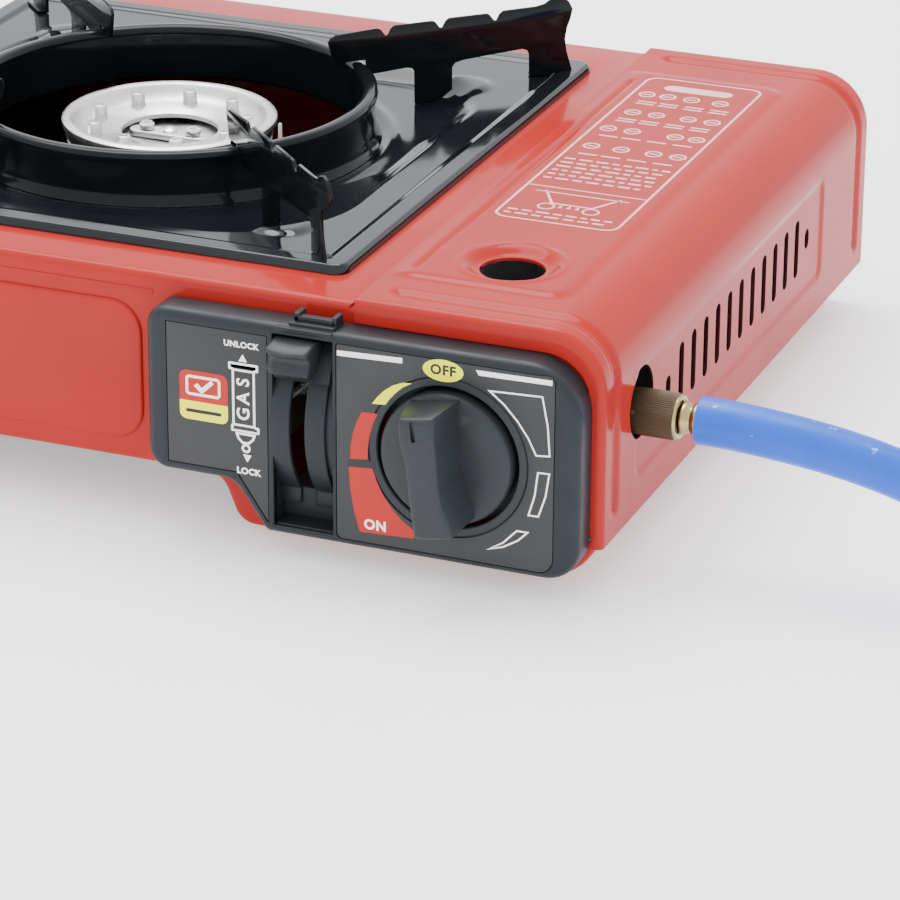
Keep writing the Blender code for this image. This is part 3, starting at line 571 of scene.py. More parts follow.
def make_hose_metal():
    """The knurled nut, its clip ring and the barb that the hose is pushed on to."""
    y, z = INLET

    def knurl(angle, height):
        return 1 - 0.035 * abs(sin(33 * angle)) * (1.2 < height < 15.6)

    profile = [
        (4.8, 4.4), (4.8, 0), (6.9, 0), (7.6, 0.7), (7.75, 1.3), (7.75, 15.4), (7.5, 16.3), (6.6, 16.7),
        (6.2, 16.9), (5.4, 15.8), (0, 15.8),
    ]
    start = (NUT_START, y, z)
    nut = turned("knurled_nut", profile, start, DULL_BRASS, BODY, "X", steps=264, ripple=knurl, smooth=28)
    hand_in(nut, "hose_nut")
    ring = turned("nut_clip_ring", [
        (5.5, 15.6), (5.5, 16.6), (6.1, 17.3), (7.0, 17.3), (7.35, 16.7), (7.35, 16.0), (7.0, 15.6),
    ], start, YELLOW_BRASS, BODY, "X", steps=72, close=True)
    barb = turned("brass_barb", [
        (0, -1.9), (4.6, -1.9), (5.1, -1.4), (5.4, -0.4), (5.2, 0.6), (4.7, 1.3), (4.6, 2.3), (5.1, 2.8),
        (5.5, 3.4), (5.5, 4.3), (5.1, 4.6), (0, 4.6),
    ], (BARB_START, y, z), YELLOW_BRASS, BODY, "X", steps=72)
    hand_in(barb, "hose_barb")
    return [nut, ring, barb]


def make_end_fitting():
    """The hexagon union on the far end of the hose."""
    centre = Vector((COIL_CENTRE_X, INLET[0] + COIL_MIDDLE, 2 * GAP + 3 * HOSE_RADIUS))
    turn = radians(COIL_END_ANGLE + 0.7)
    start = centre + COIL_MIDDLE * Vector((cos(turn), sin(turn), 0))
    ahead = radians(COIL_END_ANGLE + 95)

    def sides(angle, height):
        if not 8 < height < 24:
            return 1
        wedge = (angle % (pi / 3)) - pi / 6
        return 0.87 / cos(wedge)

    made = turned("hose_union", [
        (0, 0), (6, 0), (6, 7), (6.6, 7.6), (7.6, 8.6), (7.6, 9), (7.6, 23), (7.6, 23.4), (6.4, 24.2),
        (4.8, 25), (4.8, 26),
        *[(4.8 - 0.5 * (k % 2), 26 + 0.8 * k) for k in range(15)], (4.3, 38.6), (4, 40), (2.6, 40), (2.6, 30),
        (0, 30),
    ], (0, 0, 0), YELLOW_BRASS, None, "X", steps=72, ripple=sides, smooth=28)
    made.data.transform(Matrix.Translation((0, -SHIFT * MM, 0)))
    made.data.transform(Matrix.Translation(world(start)) @ Matrix.Rotation(ahead, 4, "Z"))
    hand_in(made, "hose_end_fitting", BODY)
    return made


# Lid


def darken_inside(made, centre, slot_walls=False):
    """Gives painted shade, a darkened copy of the red, to faces that look toward the centre and to the walls of the
    lid's slots.
    """
    centre = Vector(world(centre))
    made.data.materials.clear()
    made.data.materials.append(RED)
    made.data.materials.append(RED_PAINTED_SHADE)
    outer, inner, half_row = (HALF_LENGTH - 0.15) * MM, (HALF_LENGTH - 1.75) * MM, 120 * MM
    for face in made.data.polygons:
        on_wall = inner < face.center.x < outer and abs(face.normal.x) < 0.6
        in_slot = slot_walls and on_wall and abs(face.center.y - SHIFT * MM) < half_row
        if in_slot or face.normal.dot(face.center - centre) < 0:
            face.material_index = 1


def pin_holes(half_depth, reach):
    """Cutters for the hinge pins' holes at both ends."""
    profile = [(1.5, -reach), (1.5, reach)]
    ends = [(HINGE[0], side * half_depth, HINGE[1]) for side in (-1, 1)]
    return [turned(f"cut_pin_{k}", profile, end, axis="Y", steps=24) for k, end in enumerate(ends)]


def make_lid():
    top_run = HALF_LENGTH - LID_CORNER - LID_LEFT
    along = spread((0, 14, 1.0), (14, 56, 0.75), (56, top_run, 1.0))
    bend = np.radians(np.linspace(90, 0, 22))[1:-1]
    down = spread((0, 53, 1.0))
    corner = (HALF_LENGTH - LID_CORNER, LID_TOP - LID_CORNER)
    base = np.array(
        [(LID_LEFT + u, LID_TOP) for u in along]
        + [(corner[0] + LID_CORNER * cos(a), corner[1] + LID_CORNER * sin(a)) for a in bend]
        + [(HALF_LENGTH, corner[1] - s) for s in down]
    )
    normal = np.array([(0, 1)] * len(along) + [(cos(a), sin(a)) for a in bend] + [(1, 0)] * len(down))
    on_top = normal[:, 1]

    edge = 2.4
    middle = spread(
        (edge - LID_HALF_DEPTH, -137, 0.6), (-137, -124, 0.6), (-124, -120, 1), (-120, -76, 0.7),
        (-76, 88, 1.2),
        (88, 124, 1), (124, 137, 0.6), (137, LID_HALF_DEPTH - edge, 0.6),
    )
    x, z = base[:, 0], base[:, 1]
    flange = 5.2 + 2.8 * on_top
    hem = [(edge + f * (flange - edge), LID_HALF_DEPTH) for f in (1.0, 0.6, 0.3)]
    hem += [(edge * (1 - sin(a)), LID_HALF_DEPTH - edge + edge * cos(a)) for a in np.radians((0, 18, 36, 54, 72))]
    rows = [(-inset, -y) for inset, y in hem] + [(lid_relief(x, y, z, on_top), y) for y in middle]
    rows += [(-inset, y) for inset, y in hem[::-1]]
    points = [
        np.stack([x + normal[:, 0] * shift, np.full(len(x), y), z + normal[:, 1] * shift], 1) for shift, y in rows
    ]
    faces = grid_faces(len(rows), len(x))
    lid = piece("lid_shell", np.concatenate(points), faces, RED, None, smooth=0, outward=False)
    thick = lid.modifiers.new("sheet", "SOLIDIFY")
    thick.thickness = 1.0 * MM
    thick.offset = -1
    baked(lid)

    hole = [(LID_HOLE_RADIUS, -6), (LID_HOLE_RADIUS, 6)]
    cutters = [turned("cut_top", hole, (*LID_HOLE, LID_TOP), steps=64)]
    hole = [(HOSE_HOLE_RADIUS, -6), (HOSE_HOLE_RADIUS, 6)]
    cutters.append(turned("cut_hose", hole, (HALF_LENGTH, *HOSE_HOLE), axis="X", steps=64))
    for k in range(SLOT_COUNT):
        cutters.append(slot_cutter(f"cut_slot_{k}", SLOT_FIRST + SLOT_PITCH * k, SLOT_HEIGHT))
    for k, y in enumerate(SLOT_ENDS):
        cutters.append(slot_cutter(f"cut_dot_{k}", y, 7.4))
    cutters += pin_holes(142, 3)
    carve(lid, joined("lid_cutters", cutters), smooth=32)
    # painted shade on the lid's inner face and slot walls
    darken_inside(lid, (110, 0, 30), True)
    hand_in(lid, "lid", LID)


def slot_cutter(name, y, height):
    """A cutter for a round-ended slot in the lid's right side."""
    across, up = SLOT_WIDTH / 2, height / 2 - SLOT_WIDTH / 2
    outline = arc((y, SLOT_MIDDLE + up), across, 0, 180, 8) + arc((y, SLOT_MIDDLE - up), across, 180, 360, 8)
    return slab(name, [outline], "YZ", HALF_LENGTH - 5, HALF_LENGTH + 5, smooth=0)


def lid_relief(x, y, z, on_top):
    """How far the lid's sheet is pressed out at each point of a row across it."""
    hoop_start = step_up((x - 93) / 3.5) * step_up((z - 23.5) / 3)
    relief = (groove(y + 131.2, 4.6, 1.25) + groove(y - 130.0, 4.4, 1.25)) * hoop_start
    inside = box_depth(x, y, (106.5, -3.0), (43.0, 115.8), 9)
    relief = relief + 0.95 * step_up(inside / 5.2) * step_up((x - 86) / 9) * (on_top == 1)
    ends = step_up((y + 110.5) / 2.5) * step_up((101 - y) / 2.5)
    relief = relief + groove(x - 92.8, 1.7, 0.85) * ends * (on_top == 1)
    reach = np.hypot(x - LID_HOLE[0], y - LID_HOLE[1])
    dish = -2.3 * step_up((16.4 - reach) / 4.6) + 0.35 * np.exp(-(((reach - 17.4) / 1.1) ** 2))
    relief = relief + dish * (on_top == 1)
    field = box_depth(y, z, (-12.0, 48.0), (100.5, 19.5), 5)
    return relief - 0.75 * step_up(field / 2.6) * (on_top == 0)


def make_label():
    """The white print on the lid: a frame with rows of plain bars, a pot over a burner and simple signs."""
    top = LID_TOP + 0.95
    parts = []

    def ink(outlines):
        parts.append(slab(f"label_{len(parts)}", outlines, "XY", top + 0.02, top + 0.05, LABEL_PRINT, smooth=0))

    def bar(x, y, length, width):
        ink([rectangle((x, y - width / 2), (x + length, y + width / 2), width * 0.45, 2)])

    def circle(x, y, radius, width):
        ink([arc((x, y), radius, 0, 330, 11), arc((x, y), radius - width, 0, 330, 11)])

    def dashes(y, end, width):
        """A row of bars of uneven length."""
        x = 100.5
        while x < 137:
            length = 2.2 + 3.2 * random.random()
            bar(x, y, min(length, end - x), width)
            x += length + 1.2

    ink([rectangle((97.8, -55), (142.2, 105), 5), rectangle((98.7, -54.1), (141.3, 104.1), 4.2)])
    bar(99, -21.4, 42, 0.7)
    bar(107, 95, 26, 6)
    signs = {85: (101, 109, 118, 129), 64: (103, 112, 124, 133), 44: (101, 110, 126, 134), 24: (102, 113, 125, 134)}
    for y, starts in signs.items():
        for x in starts:
            circle(x + 2.75, y, 3.2, 0.9)
            bar(x + 1, y, 3.5, 0.9)
    for y in (77, 74.4, 56, 53.4, 36, 15):
        for x in (103, 111.5, 121, 130.5):
            bar(x, y, 7.2, 1.1)
    for row in range(6):
        dashes(8.5 - 4.2 * row, 139.5, 1.3)
    ink([[(106, -25), (107, -25), (113, -36), (127, -36), (133, -25), (134, -25), (127.6, -37), (112.4, -37)]])
    bar(103, -26.2, 34, 0.7)
    for x in (112, 128):
        circle(x, -40, 3.2, 0.8)
    for x in (116, 119, 122):
        ink([[(x, -40), (x + 1.6, -40), (x + 0.8, -36.5)]])
    for y in (-46.5, -50):
        dashes(y, 139, 1.2)
    label = joined("lid_print", parts)
    hand_in(label, body=LID)


# Casing


def case_outline(inset):
    i = inset
    return rounded([
        (-HALF_LENGTH + i, LEFT_FLOOR + i, 5 - i),
        (36.5 + 0.9 * i, LEFT_FLOOR + i, 8 + i),
        (43.5 + 0.6 * i, BAY_FLOOR + i, 8 - i),
        (CASE_RIGHT - i, BAY_FLOOR + i, 20 - i),
        (CASE_RIGHT - i, CASE_TOP - 1 - i, 18.6 - i),
        (SEAM - i, CASE_TOP - 1 - i, 0),
        (SEAM - i, CASE_TOP - i, 0),
        (-HALF_LENGTH + i, CASE_TOP - i, 14 - i),
    ], steps=10)


def wall(outline, y):
    return [(x, y, z) for x, z in outline]


def make_casing():
    edge, depth = 2.8, CASE_HALF_DEPTH
    ways = [(edge * (1 - sin(a)), depth - edge * (1 - cos(a))) for a in np.radians((0, 18, 36, 54, 72, 90))]
    rings = [wall(case_outline(i), -y) for i, y in ways] + [wall(case_outline(i), y) for i, y in ways[::-1]]
    outer = loft("casing_shell", rings, RED)
    ways = [(CASE_SHEET + 1, depth - CASE_SHEET), (CASE_SHEET, depth - CASE_SHEET - 1)]
    rings = [wall(case_outline(i), -y) for i, y in ways] + [wall(case_outline(i), y) for i, y in ways[::-1]]
    hollow = loft("casing_hollow", rings)
    hole = TRAY_SIDE / 2 - 6
    low, high = [(TRAY_CENTRE[0] + side * hole, TRAY_CENTRE[1] + side * hole) for side in (-1, 1)]
    tools = [
        hollow,
        slab("cut_tray", [rectangle(low, high, 8)], "XY", 80, 95),
        slab("cut_bay", [rectangle((88, -134), (180, 134), 5)], "XY", 24, 95),
        box("cut_bay_side", (160, -134, 18), (180, 134, 40)),
        box("cut_floor", (-160, -128, 15), (26, 128, 24)),
        box("cut_lever", (57, -146, 20), (83.5, -135, 79)),
        turned("cut_knob", [(24, -5), (24, 6)], (KNOB_AXIS[0], -141, KNOB_AXIS[1]), axis="Y", steps=48),
    ]
    carve(outer, *tools, joined("casing_pins", pin_holes(depth, 4)))
    # painted shade on the casing's inner faces
    darken_inside(outer, (-40, 0, 50))
    hand_in(outer, "body_casing", BODY)

    pads = [
        slab("pad", [rectangle((-160, 27.5), (9.6, 76.4), 11, 8)], "XZ", -142.1, -138.9, RED, edge=1.1),
        slab("pad", [rectangle((-164, 80.2), (14, 81.8), 0.7, 4)], "XZ", -141.35, -140.5, RED, edge=0.3),
        slab("pad", [rectangle((-160, 27.5), (60, 76.4), 11, 8)], "XZ", 138.9, 141.7, RED, edge=1.1),
    ]
    pad = joined("casing_pressing", pads)
    hand_in(pad, body=BODY)


# Drip tray, wind ring and pan supports


def tray_height(x, y, edge_depth):
    """The tray's upper face: a raised rim, a flat ledge and a dish whose slope ends in a round floor."""
    height = TRAY_LEDGE - 0.05 + 1.0 * step_up((10.2 - edge_depth) / 3.4)
    rim = np.clip(edge_depth / 1.6, 0, 1)
    height = height - 3.0 * (1 - np.sqrt(np.clip(1 - (1 - rim) ** 2, 0, 1)))
    inside = box_depth(x, y, BURNER, (DISH_HALF, DISH_HALF), DISH_CORNER)
    height = height - (TRAY_LEDGE - DISH_FLOOR) * step_up(inside / 10.8)
    reach = np.hypot(x - BURNER[0], y - BURNER[1])
    u, v = np.abs(x - BURNER[0]), np.abs(y - BURNER[1])
    boss = np.hypot(u - 79.5, v - 79.5)
    height = height + 1.2 * step_up((12.5 - boss) / 5.0) * step_up((edge_depth - 11) / 4)
    height = height + 0.9 * np.exp(-(((reach - 79.0) / 2.6) ** 2))
    return np.minimum(height, TRAY_RIM)


def make_tray():
    half = (TRAY_SIDE / 2, TRAY_SIDE / 2)
    radius = 5.0
    steps = ((0, 36, 40), (36, 54, 64), (54, 90, 40))
    turns = [np.linspace(start, end, count, endpoint=False) for start, end, count in steps]
    angles = np.radians(np.concatenate([90 * quarter + np.concatenate(turns) for quarter in range(4)]))
    cosines, sines = np.cos(angles), np.sin(angles)
    low, high = np.full(len(angles), 80.0), np.full(len(angles), 190.0)
    for _ in range(40):
        middle = (low + high) / 2
        x, y = BURNER[0] + middle * cosines, BURNER[1] + middle * sines
        out = box_depth(x, y, TRAY_CENTRE, half, radius) < 0
        low, high = np.where(out, low, middle), np.where(out, middle, high)
    reach = low
    share = np.concatenate([np.linspace(0, 0.78, 58, endpoint=False), np.linspace(0.78, 1, 46)])
    rings = []
    for t in share:
        r = 69 + (reach - 69) * t
        x, y = BURNER[0] + r * cosines, BURNER[1] + r * sines
        inner = box_depth(x, y, TRAY_CENTRE, half, radius)
        rings.append(np.stack([x, y, tray_height(x, y, inner)], 1))
    skirt = rings[-1].copy()
    skirt[:, 2] = CASE_TOP + GAP
    under = []
    for ring in rings[::-1]:
        low = ring.copy()
        inner = box_depth(low[:, 0], low[:, 1], TRAY_CENTRE, half, radius)
        low[:, 2] -= 1.1
        low[:, 2] = np.maximum(low[:, 2], np.where(inner < 6, CASE_TOP + GAP, 0))
        under.append(low)
    rings += [skirt, *under[::2], under[-1]]
    tray = loft("tray_shell", rings, ENAMEL, TRAY, caps=False, close=True, smooth=40)
    hand_in(tray, "drip_tray")


def make_ring():
    low = DISH_FLOOR + GAP
    profile = [
        (75.4, low), (74.6, low + 0.7), (73.7, low + 2.4), (73.3, low + 4), (73.2, 99.5), (73.6, 100.6),
        (74.0, 101.2),
        (74.2, 102.1), (74.05, 103.0), (73.5, 103.7), (72.7, 104.0), (70.6, 104.0), (69.6, 103.7),
        (68.8, 103.0), (68.5, 102.0),
        (68.4, 100.5), (67.9, 96), (67.6, low), (68.7, low), (69.2, 96), (69.8, 101.2), (70.6, 102.6),
        (71.8, 102.6),
        (72.1, 101.4), (72.1, low + 3.4), (72.6, low + 2), (73.6, low + 0.2),
    ]
    ring = turned("wind_ring_shell", profile, (*BURNER, 0), ENAMEL_RING, TRAY, steps=160, close=True, smooth=50)
    hand_in(ring, "wind_ring")


def blade_outline(foot):
    top = 115.6
    points = [(60.5, top - 3.2), (61.3, top - 1.8), (63.5, top - 0.7)]
    for k, middle in enumerate((83.2, 104.6, 126.0)):
        lift = 0.25 * k
        notch = [(-3.4, 0), (-2.4, -0.5), (-0.6, -2.9), (0.4, -3.0), (1.6, -0.8), (3.0, 0.3)]
        points += [(middle + along, top + lift + up) for along, up in notch]
    horn = [
        (142, 0.9), (145.6, 1.5), (148.4, 3.3), (150.6, 3.9), (153, 3.5), (155.4, 1.2), (156.8, -1.6), (156, -5),
    ]
    sole, step, rest = TRAY_LEDGE + GAP, DISH_FLOOR + GAP, RING_TOP + GAP
    return [
        *points, *[(r, top + up) for r, up in horn], (foot - 2.4, 107), (foot - 3.1, 103), (foot - 2.4, 98),
        (foot, sole), (139.8, sole), (139.6, 98.6), (138.8, 100.2), (136.8, 101.0), (122, 100.2), (113, 99.6),
        (110, 98.9), (108.9, 97.4), (108.9, 89), (103.8, step), (94.3, step), (94.1, 97.6), (93.2, 98.9),
        (91, 99.4), (78.4, 98.7), (76.4, 99.1), (75.4, 100.6), (75, rest), (67.4, rest), (66.8, 102.2),
        (63.8, 103.0), (62.6, 104.6), (61.4, 109),
    ]


def make_pan_supports():
    for name, angle in (("rear_right", 45), ("rear_left", 135), ("front_left", 225), ("front_right", 315)):
        turn = Matrix.Translation((*BURNER, 0)) @ Matrix.Rotation(radians(angle), 4, "Z")
        foot = 157 if angle < 180 else 151.5
        blade = slab(
            f"blade_{name}", [blade_outline(foot)], "XZ", -0.6, 0.6, ENAMEL_RING, edge=0.28, turn=turn, smooth=60,
        )
        sole, step = TRAY_LEDGE + 0.25, DISH_FLOOR + 0.32
        tabs = [
            block("tab", (140.4, -0.4, sole), (foot - 1.4, 3.4, sole + 1), 1.2, ENAMEL_RING, 0.3, turn),
            block("tab", (95.4, -0.4, step), (102.8, 3.6, step + 0.98), 1.2, ENAMEL_RING, 0.3, turn),
        ]
        whole = joined(f"pan_blade_{name}", [blade, *tabs])
        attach(whole, TRAY)
        hand_in(whole, f"pan_support_{name}")


# Burner


def make_burner():
    x, y = BURNER
    floor, reach = 88.0, 43
    head = turned("burner_dish", [
        (17.2, 86.1), (17.2, floor - 0.5), (17.8, floor), (28.6, floor + 0.1), (31.0, floor + 0.9),
        (33.4, 91.6),
        (34.0, 92.8), (34.8, 93.35), (36.2, BURNER_TOP), (37.4, 93.35), (38.2, 92.8), (38.4, 92.0),
        (38.2, 90.6),
        (37.3, 90.2), (37.1, 87.4), (36.6, 86.5), (36, 86.4), (18, 85.5),
    ], (x, y, 0), CAST, BODY, steps=128, close=True, smooth=40)
    hand_in(head, "burner_head")
    post = [
        (2.9, floor - 0.1), (2.6, floor + 1), (2.35, floor + 4.9), (2.0, floor + 5.2), (1.35, floor + 5.2),
        (1.15, floor + 4.9), (1.1, floor + 0.6),
    ]
    posts = []
    for k in range(9):
        a = radians(20 + 360 * k / 9)
        foot = (x + 27.5 * cos(a), y + 27.5 * sin(a), 0)
        posts.append(turned("post", post, foot, CAST, steps=24, close=True, smooth=50))
    hand_in(joined("burner_jets", posts), body=BODY)

    base = turned("burner_mixer", [
        (0, 84), (16, 84), (27, 84), (35.5, 86), (36.5, 85.4), (36.5, 84), (28, 78), (13.5, 72), (11, 70),
        (10, 68),
        (10, 54), (11.5, 53.6), (11.5, 53), (0, 53),
    ], (x, y, 0), CAST, BODY, steps=96)
    hand_in(base, "burner_base")
    ear = rounded([(x + 6, y - 5, 1), (x + 48, y - 5, 4.5), (x + 48, y + 5, 4.5), (x + 6, y + 5, 1)])
    hole = arc((x + reach, y), 2.6, 0, 345, 23)
    hand_in(slab("mixer_ear", [ear, hole], "XY", 70.2, 72.2, CAST, BODY, edge=0.3))

    bridge = rectangle((x - 15.5, y - 3.5), (x + 15.5, y + 3.5), 3.4, 8)
    bridge = slab("bridge_bar", [bridge], "XY", 84.3, 86.6, CAST, BODY, edge=0.5)
    hand_in(bridge, "burner_bridge")
    for side, offset in (("left", -9), ("right", 9)):
        screw = turned(f"screw_{side}", [
            (0, 88.5), (1.0, 88.5), (1.1, 89.2), (1.9, 89.25), (2.7, 88.5), (2.8, 87.6), (2.8, 86.9), (0, 86.9),
        ], (x + offset, y, 0), BRIGHT, BODY, steps=32)
        hand_in(screw, f"bridge_screw_{side}")
    rivet = [(0, 88.2), (1.6, 88.1), (2.4, 87.5), (2.6, 86.6), (0, 86.6)]
    hand_in(turned("centre_rivet", rivet, (x, y, 0), BRIGHT, BODY, steps=32))

    electrode = turned("igniter_pin", [
        (0, 95.5), (0.5, 95.4), (0.7, 94.8), (0.7, 88), (1.5, 87.6), (2.1, 87), (2.1, 84), (1.8, 83.6),
        (2.1, 83.2),
        (2.1, 81), (1.8, 80.6), (2.1, 80.2), (2.1, 73.6), (3.4, 73.6), (3.4, 72.5), (2.1, 72.5),
        (2.1, 56), (0, 56),
    ], (x + reach, y, 0), CERAMIC, BODY, steps=32)
    hand_in(electrode, "electrode")


# Control panel


def panel_outline(inset):
    i = inset
    return rounded([
        (16.8 + i, 24.5 + i, max(7 - i, 1)), (47.2 + 0.55 * i, 24.5 + i, 9), (58.6 + 0.55 * i, 8.2 + i, 3),
        (167 - i, 8.2 + i, max(12 - i, 2)), (167 - i, 81.3 - i, max(18 - i, 3)),
        (16.8 + i, 81.3 - i, max(7 - i, 1)),
    ], steps=10)


def left_decal(grow=0.0):
    g = grow
    return [(24.6 - g, 77 + g), (24.6 - g, 28.2 - g), (49.2 - g, 28.2 - g), (60 - g, 12.4 - g), (60 + g, 12.4 - g),
            (60 + g, 77 + g)]


def right_decal(grow=0.0):
    g = grow
    return rounded([
        (84.3 - g, 11 - g, 2), (158.5 + g, 11 - g, 5), (158.5 + g, 78.3 + g, 2.5), (84.3 - g, 78.3 + g, 1),
    ], steps=8)


def channel_sector(inner, outer, start, end, steps=24):
    start, end = 180 - start, 180 - end
    return arc(LEVER_AXIS, outer, start, end, steps) + arc(LEVER_AXIS, inner, end, start, steps)


def make_panel():
    left, right = CHANNEL
    edge = 3.2
    front = PANEL_FRONT
    well = (KNOB_AXIS[0], front, KNOB_AXIS[1])
    turns = np.radians((0, 15, 30, 45, 60, 75, 90))
    rings = [wall(panel_outline(edge * (1 - sin(a))), front + edge * (1 - cos(a))) for a in turns]
    panel = loft("panel_shell", rings + [wall(panel_outline(0), PANEL_BACK)], PLASTIC)
    tools = [
        slab("cut_hollow", [panel_outline(2.5)], "XZ", front + 2.5, PANEL_BACK + 5),
        box("cut_channel", (left, -160, 11.6), (right, -130, 78.6)),
        turned("cut_knob", [(24.2, -6), (24.2, 9)], well, axis="Y", steps=96),
        slab("cut_left", [left_decal(0.3)], "XZ", front - 5, front + 0.7),
        slab("cut_right", [right_decal(0.3)], "XZ", front - 5, front + 0.7),
    ]
    carve(panel, *tools)
    ease_edges(panel, 0.35)
    surround = turned("knob_surround", [
        (24.2, 0.5), (24.6, 0.1), (26.8, 0.1), (27.2, 0.5), (27.2, 2.4), (24.2, 2.4),
    ], well, PLASTIC_EDGE, axis="Y", steps=96, close=True)

    slit = (LEVER_X[0] - 0.6, LEVER_X[1] + 0.6)
    strips = []
    curve, ledge = channel_sector(32.5, CHANNEL_RADIUS, -44, 60), channel_sector(31, 33.2, -45, 59)
    for low, high in ((left - 0.8, slit[0]), (slit[1], STRIP_RIGHT)):
        strips.append(slab("strip", [curve], "YZ", low, high, PLASTIC, edge=0.5))
        strips.append(block("foot", (low, -146.3, 17), (high, -143.4, 22.6), 0.7, PLASTIC, 0.4))
    strips.append(slab("strip", [ledge], "YZ", STRIP_RIGHT - 0.7, right + 0.2, PLASTIC, edge=0.2))
    back_ring = [(24.6, 7.6), (24.6, 8.6), (7.4, 8.6), (7.4, 7.6)]
    walls = [
        box("w", (left - 1.6, -152.5, 11), (left, PANEL_BACK, 79.5), PLASTIC),
        box("w", (right, -152.5, 11), (right + 1.6, PANEL_BACK, 79.5), PLASTIC),
        box("w", (left - 0.8, -144.9, 10.5), (right + 0.8, -143.4, 22.4), PLASTIC),
        turned("w", back_ring, well, PLASTIC, axis="Y", steps=96, close=True),
        block("w", (left + 0.1, -152.8, 10.4), (right - 0.1, -144, 12.2), 0.8, PLASTIC, 0.5),
    ]
    clip = [
        block("c", (62.4, -153.7, 79.0), (82.6, -147.6, 81.0), 0.6, PLASTIC, 0.4),
        block("c", (66.6, -151.6, 80.6), (82.6, -143.4, 82.2), 0.6, PLASTIC, 0.3),
        block("c", (67.6, -149.4, 81.8), (82.0, -146.6, 83.9), 0.5, PLASTIC, 0.3),
        block("c", (67.6, -149.4, 81.8), (69.6, -143.6, 84.8), 0.5, PLASTIC, 0.3),
        block("c", (80.6, -149.4, 81.8), (82.4, -143.6, 84.8), 0.5, PLASTIC, 0.3),
    ]
    boss = [(3, -5.5), (3, 5.2), (0, 5.2)]
    bosses = [turned("b", boss, (x, -146.5, z), PLASTIC, axis="Y", steps=24) for x, z in ((36, 53), (152, 20))]
    whole = joined("control_panel", [panel, surround, *strips, *walls, *clip, *bosses])
    hand_in(whole, "control_bezel", BODY)

    low, high = front + 0.05, front + 0.4
    plate = slab("plate_left", [left_decal()], "XZ", low, high, SHEET_GREY, BODY, edge=0.08)
    hand_in(plate, "decal_left")
    ring = arc(KNOB_AXIS, 27.5, 0, 357, 119)
    plate = slab("plate_right", [right_decal(), ring], "XZ", low, high, SHEET_GREY, BODY, edge=0.08)
    hand_in(plate, "decal_right")


def print_on_panel(name, outlines, paint, lift=0.0):
    """Ink on the panel's plates."""
    made = slab(name, outlines, "XZ", PANEL_FRONT + 0.012 - lift, PANEL_FRONT + 0.06 - lift, paint, BODY, smooth=0)
    return made


def lettering(name, text, size, centre, paint, turn=0, weight=0.0, raise_by=0.0, spacing=1.0):
    """Plain lettering on the panel's plates, centred at (x, z)."""
    curve = bpy.data.curves.new(name, "FONT")
    curve.body = text
    curve.size = size
    curve.align_x = "CENTER"
    curve.align_y = "CENTER"
    curve.offset = weight
    curve.space_character = spacing
    curve.extrude = 0.012
    curve.resolution_u = 4
    flat, faces = flattened(curve)
    a = radians(turn)
    points = []
    for x, y, z in flat:
        u, w = x * cos(a) - y * sin(a), x * sin(a) + y * cos(a)
        points.append((centre[0] + u, PANEL_FRONT - 0.005 - z - raise_by, centre[1] + w))
    made = piece(name, points, faces, paint, BODY, smooth=0)
    return made


def ribbon(points, width):
    """A closed band of even width along a closed outline."""
    count = len(points)
    area = sum(p[0] * q[1] - q[0] * p[1] for p, q in zip(points, points[1:] + points[:1]))
    side = 1 if area > 0 else -1
    inner = []
    for k, (u, v) in enumerate(points):
        a, b = Vector(points[k - 1]), Vector(points[(k + 1) % count])
        here = Vector((u, v))
        before, after = (here - a).normalized(), (b - here).normalized()
        n1, n2 = Vector((-before.y, before.x)), Vector((-after.y, after.x))
        across = (n1 + n2).normalized()
        reach = width / max(0.35, across.dot(n1))
        inner.append(tuple(here + across * reach * side))
    return [points, inner]


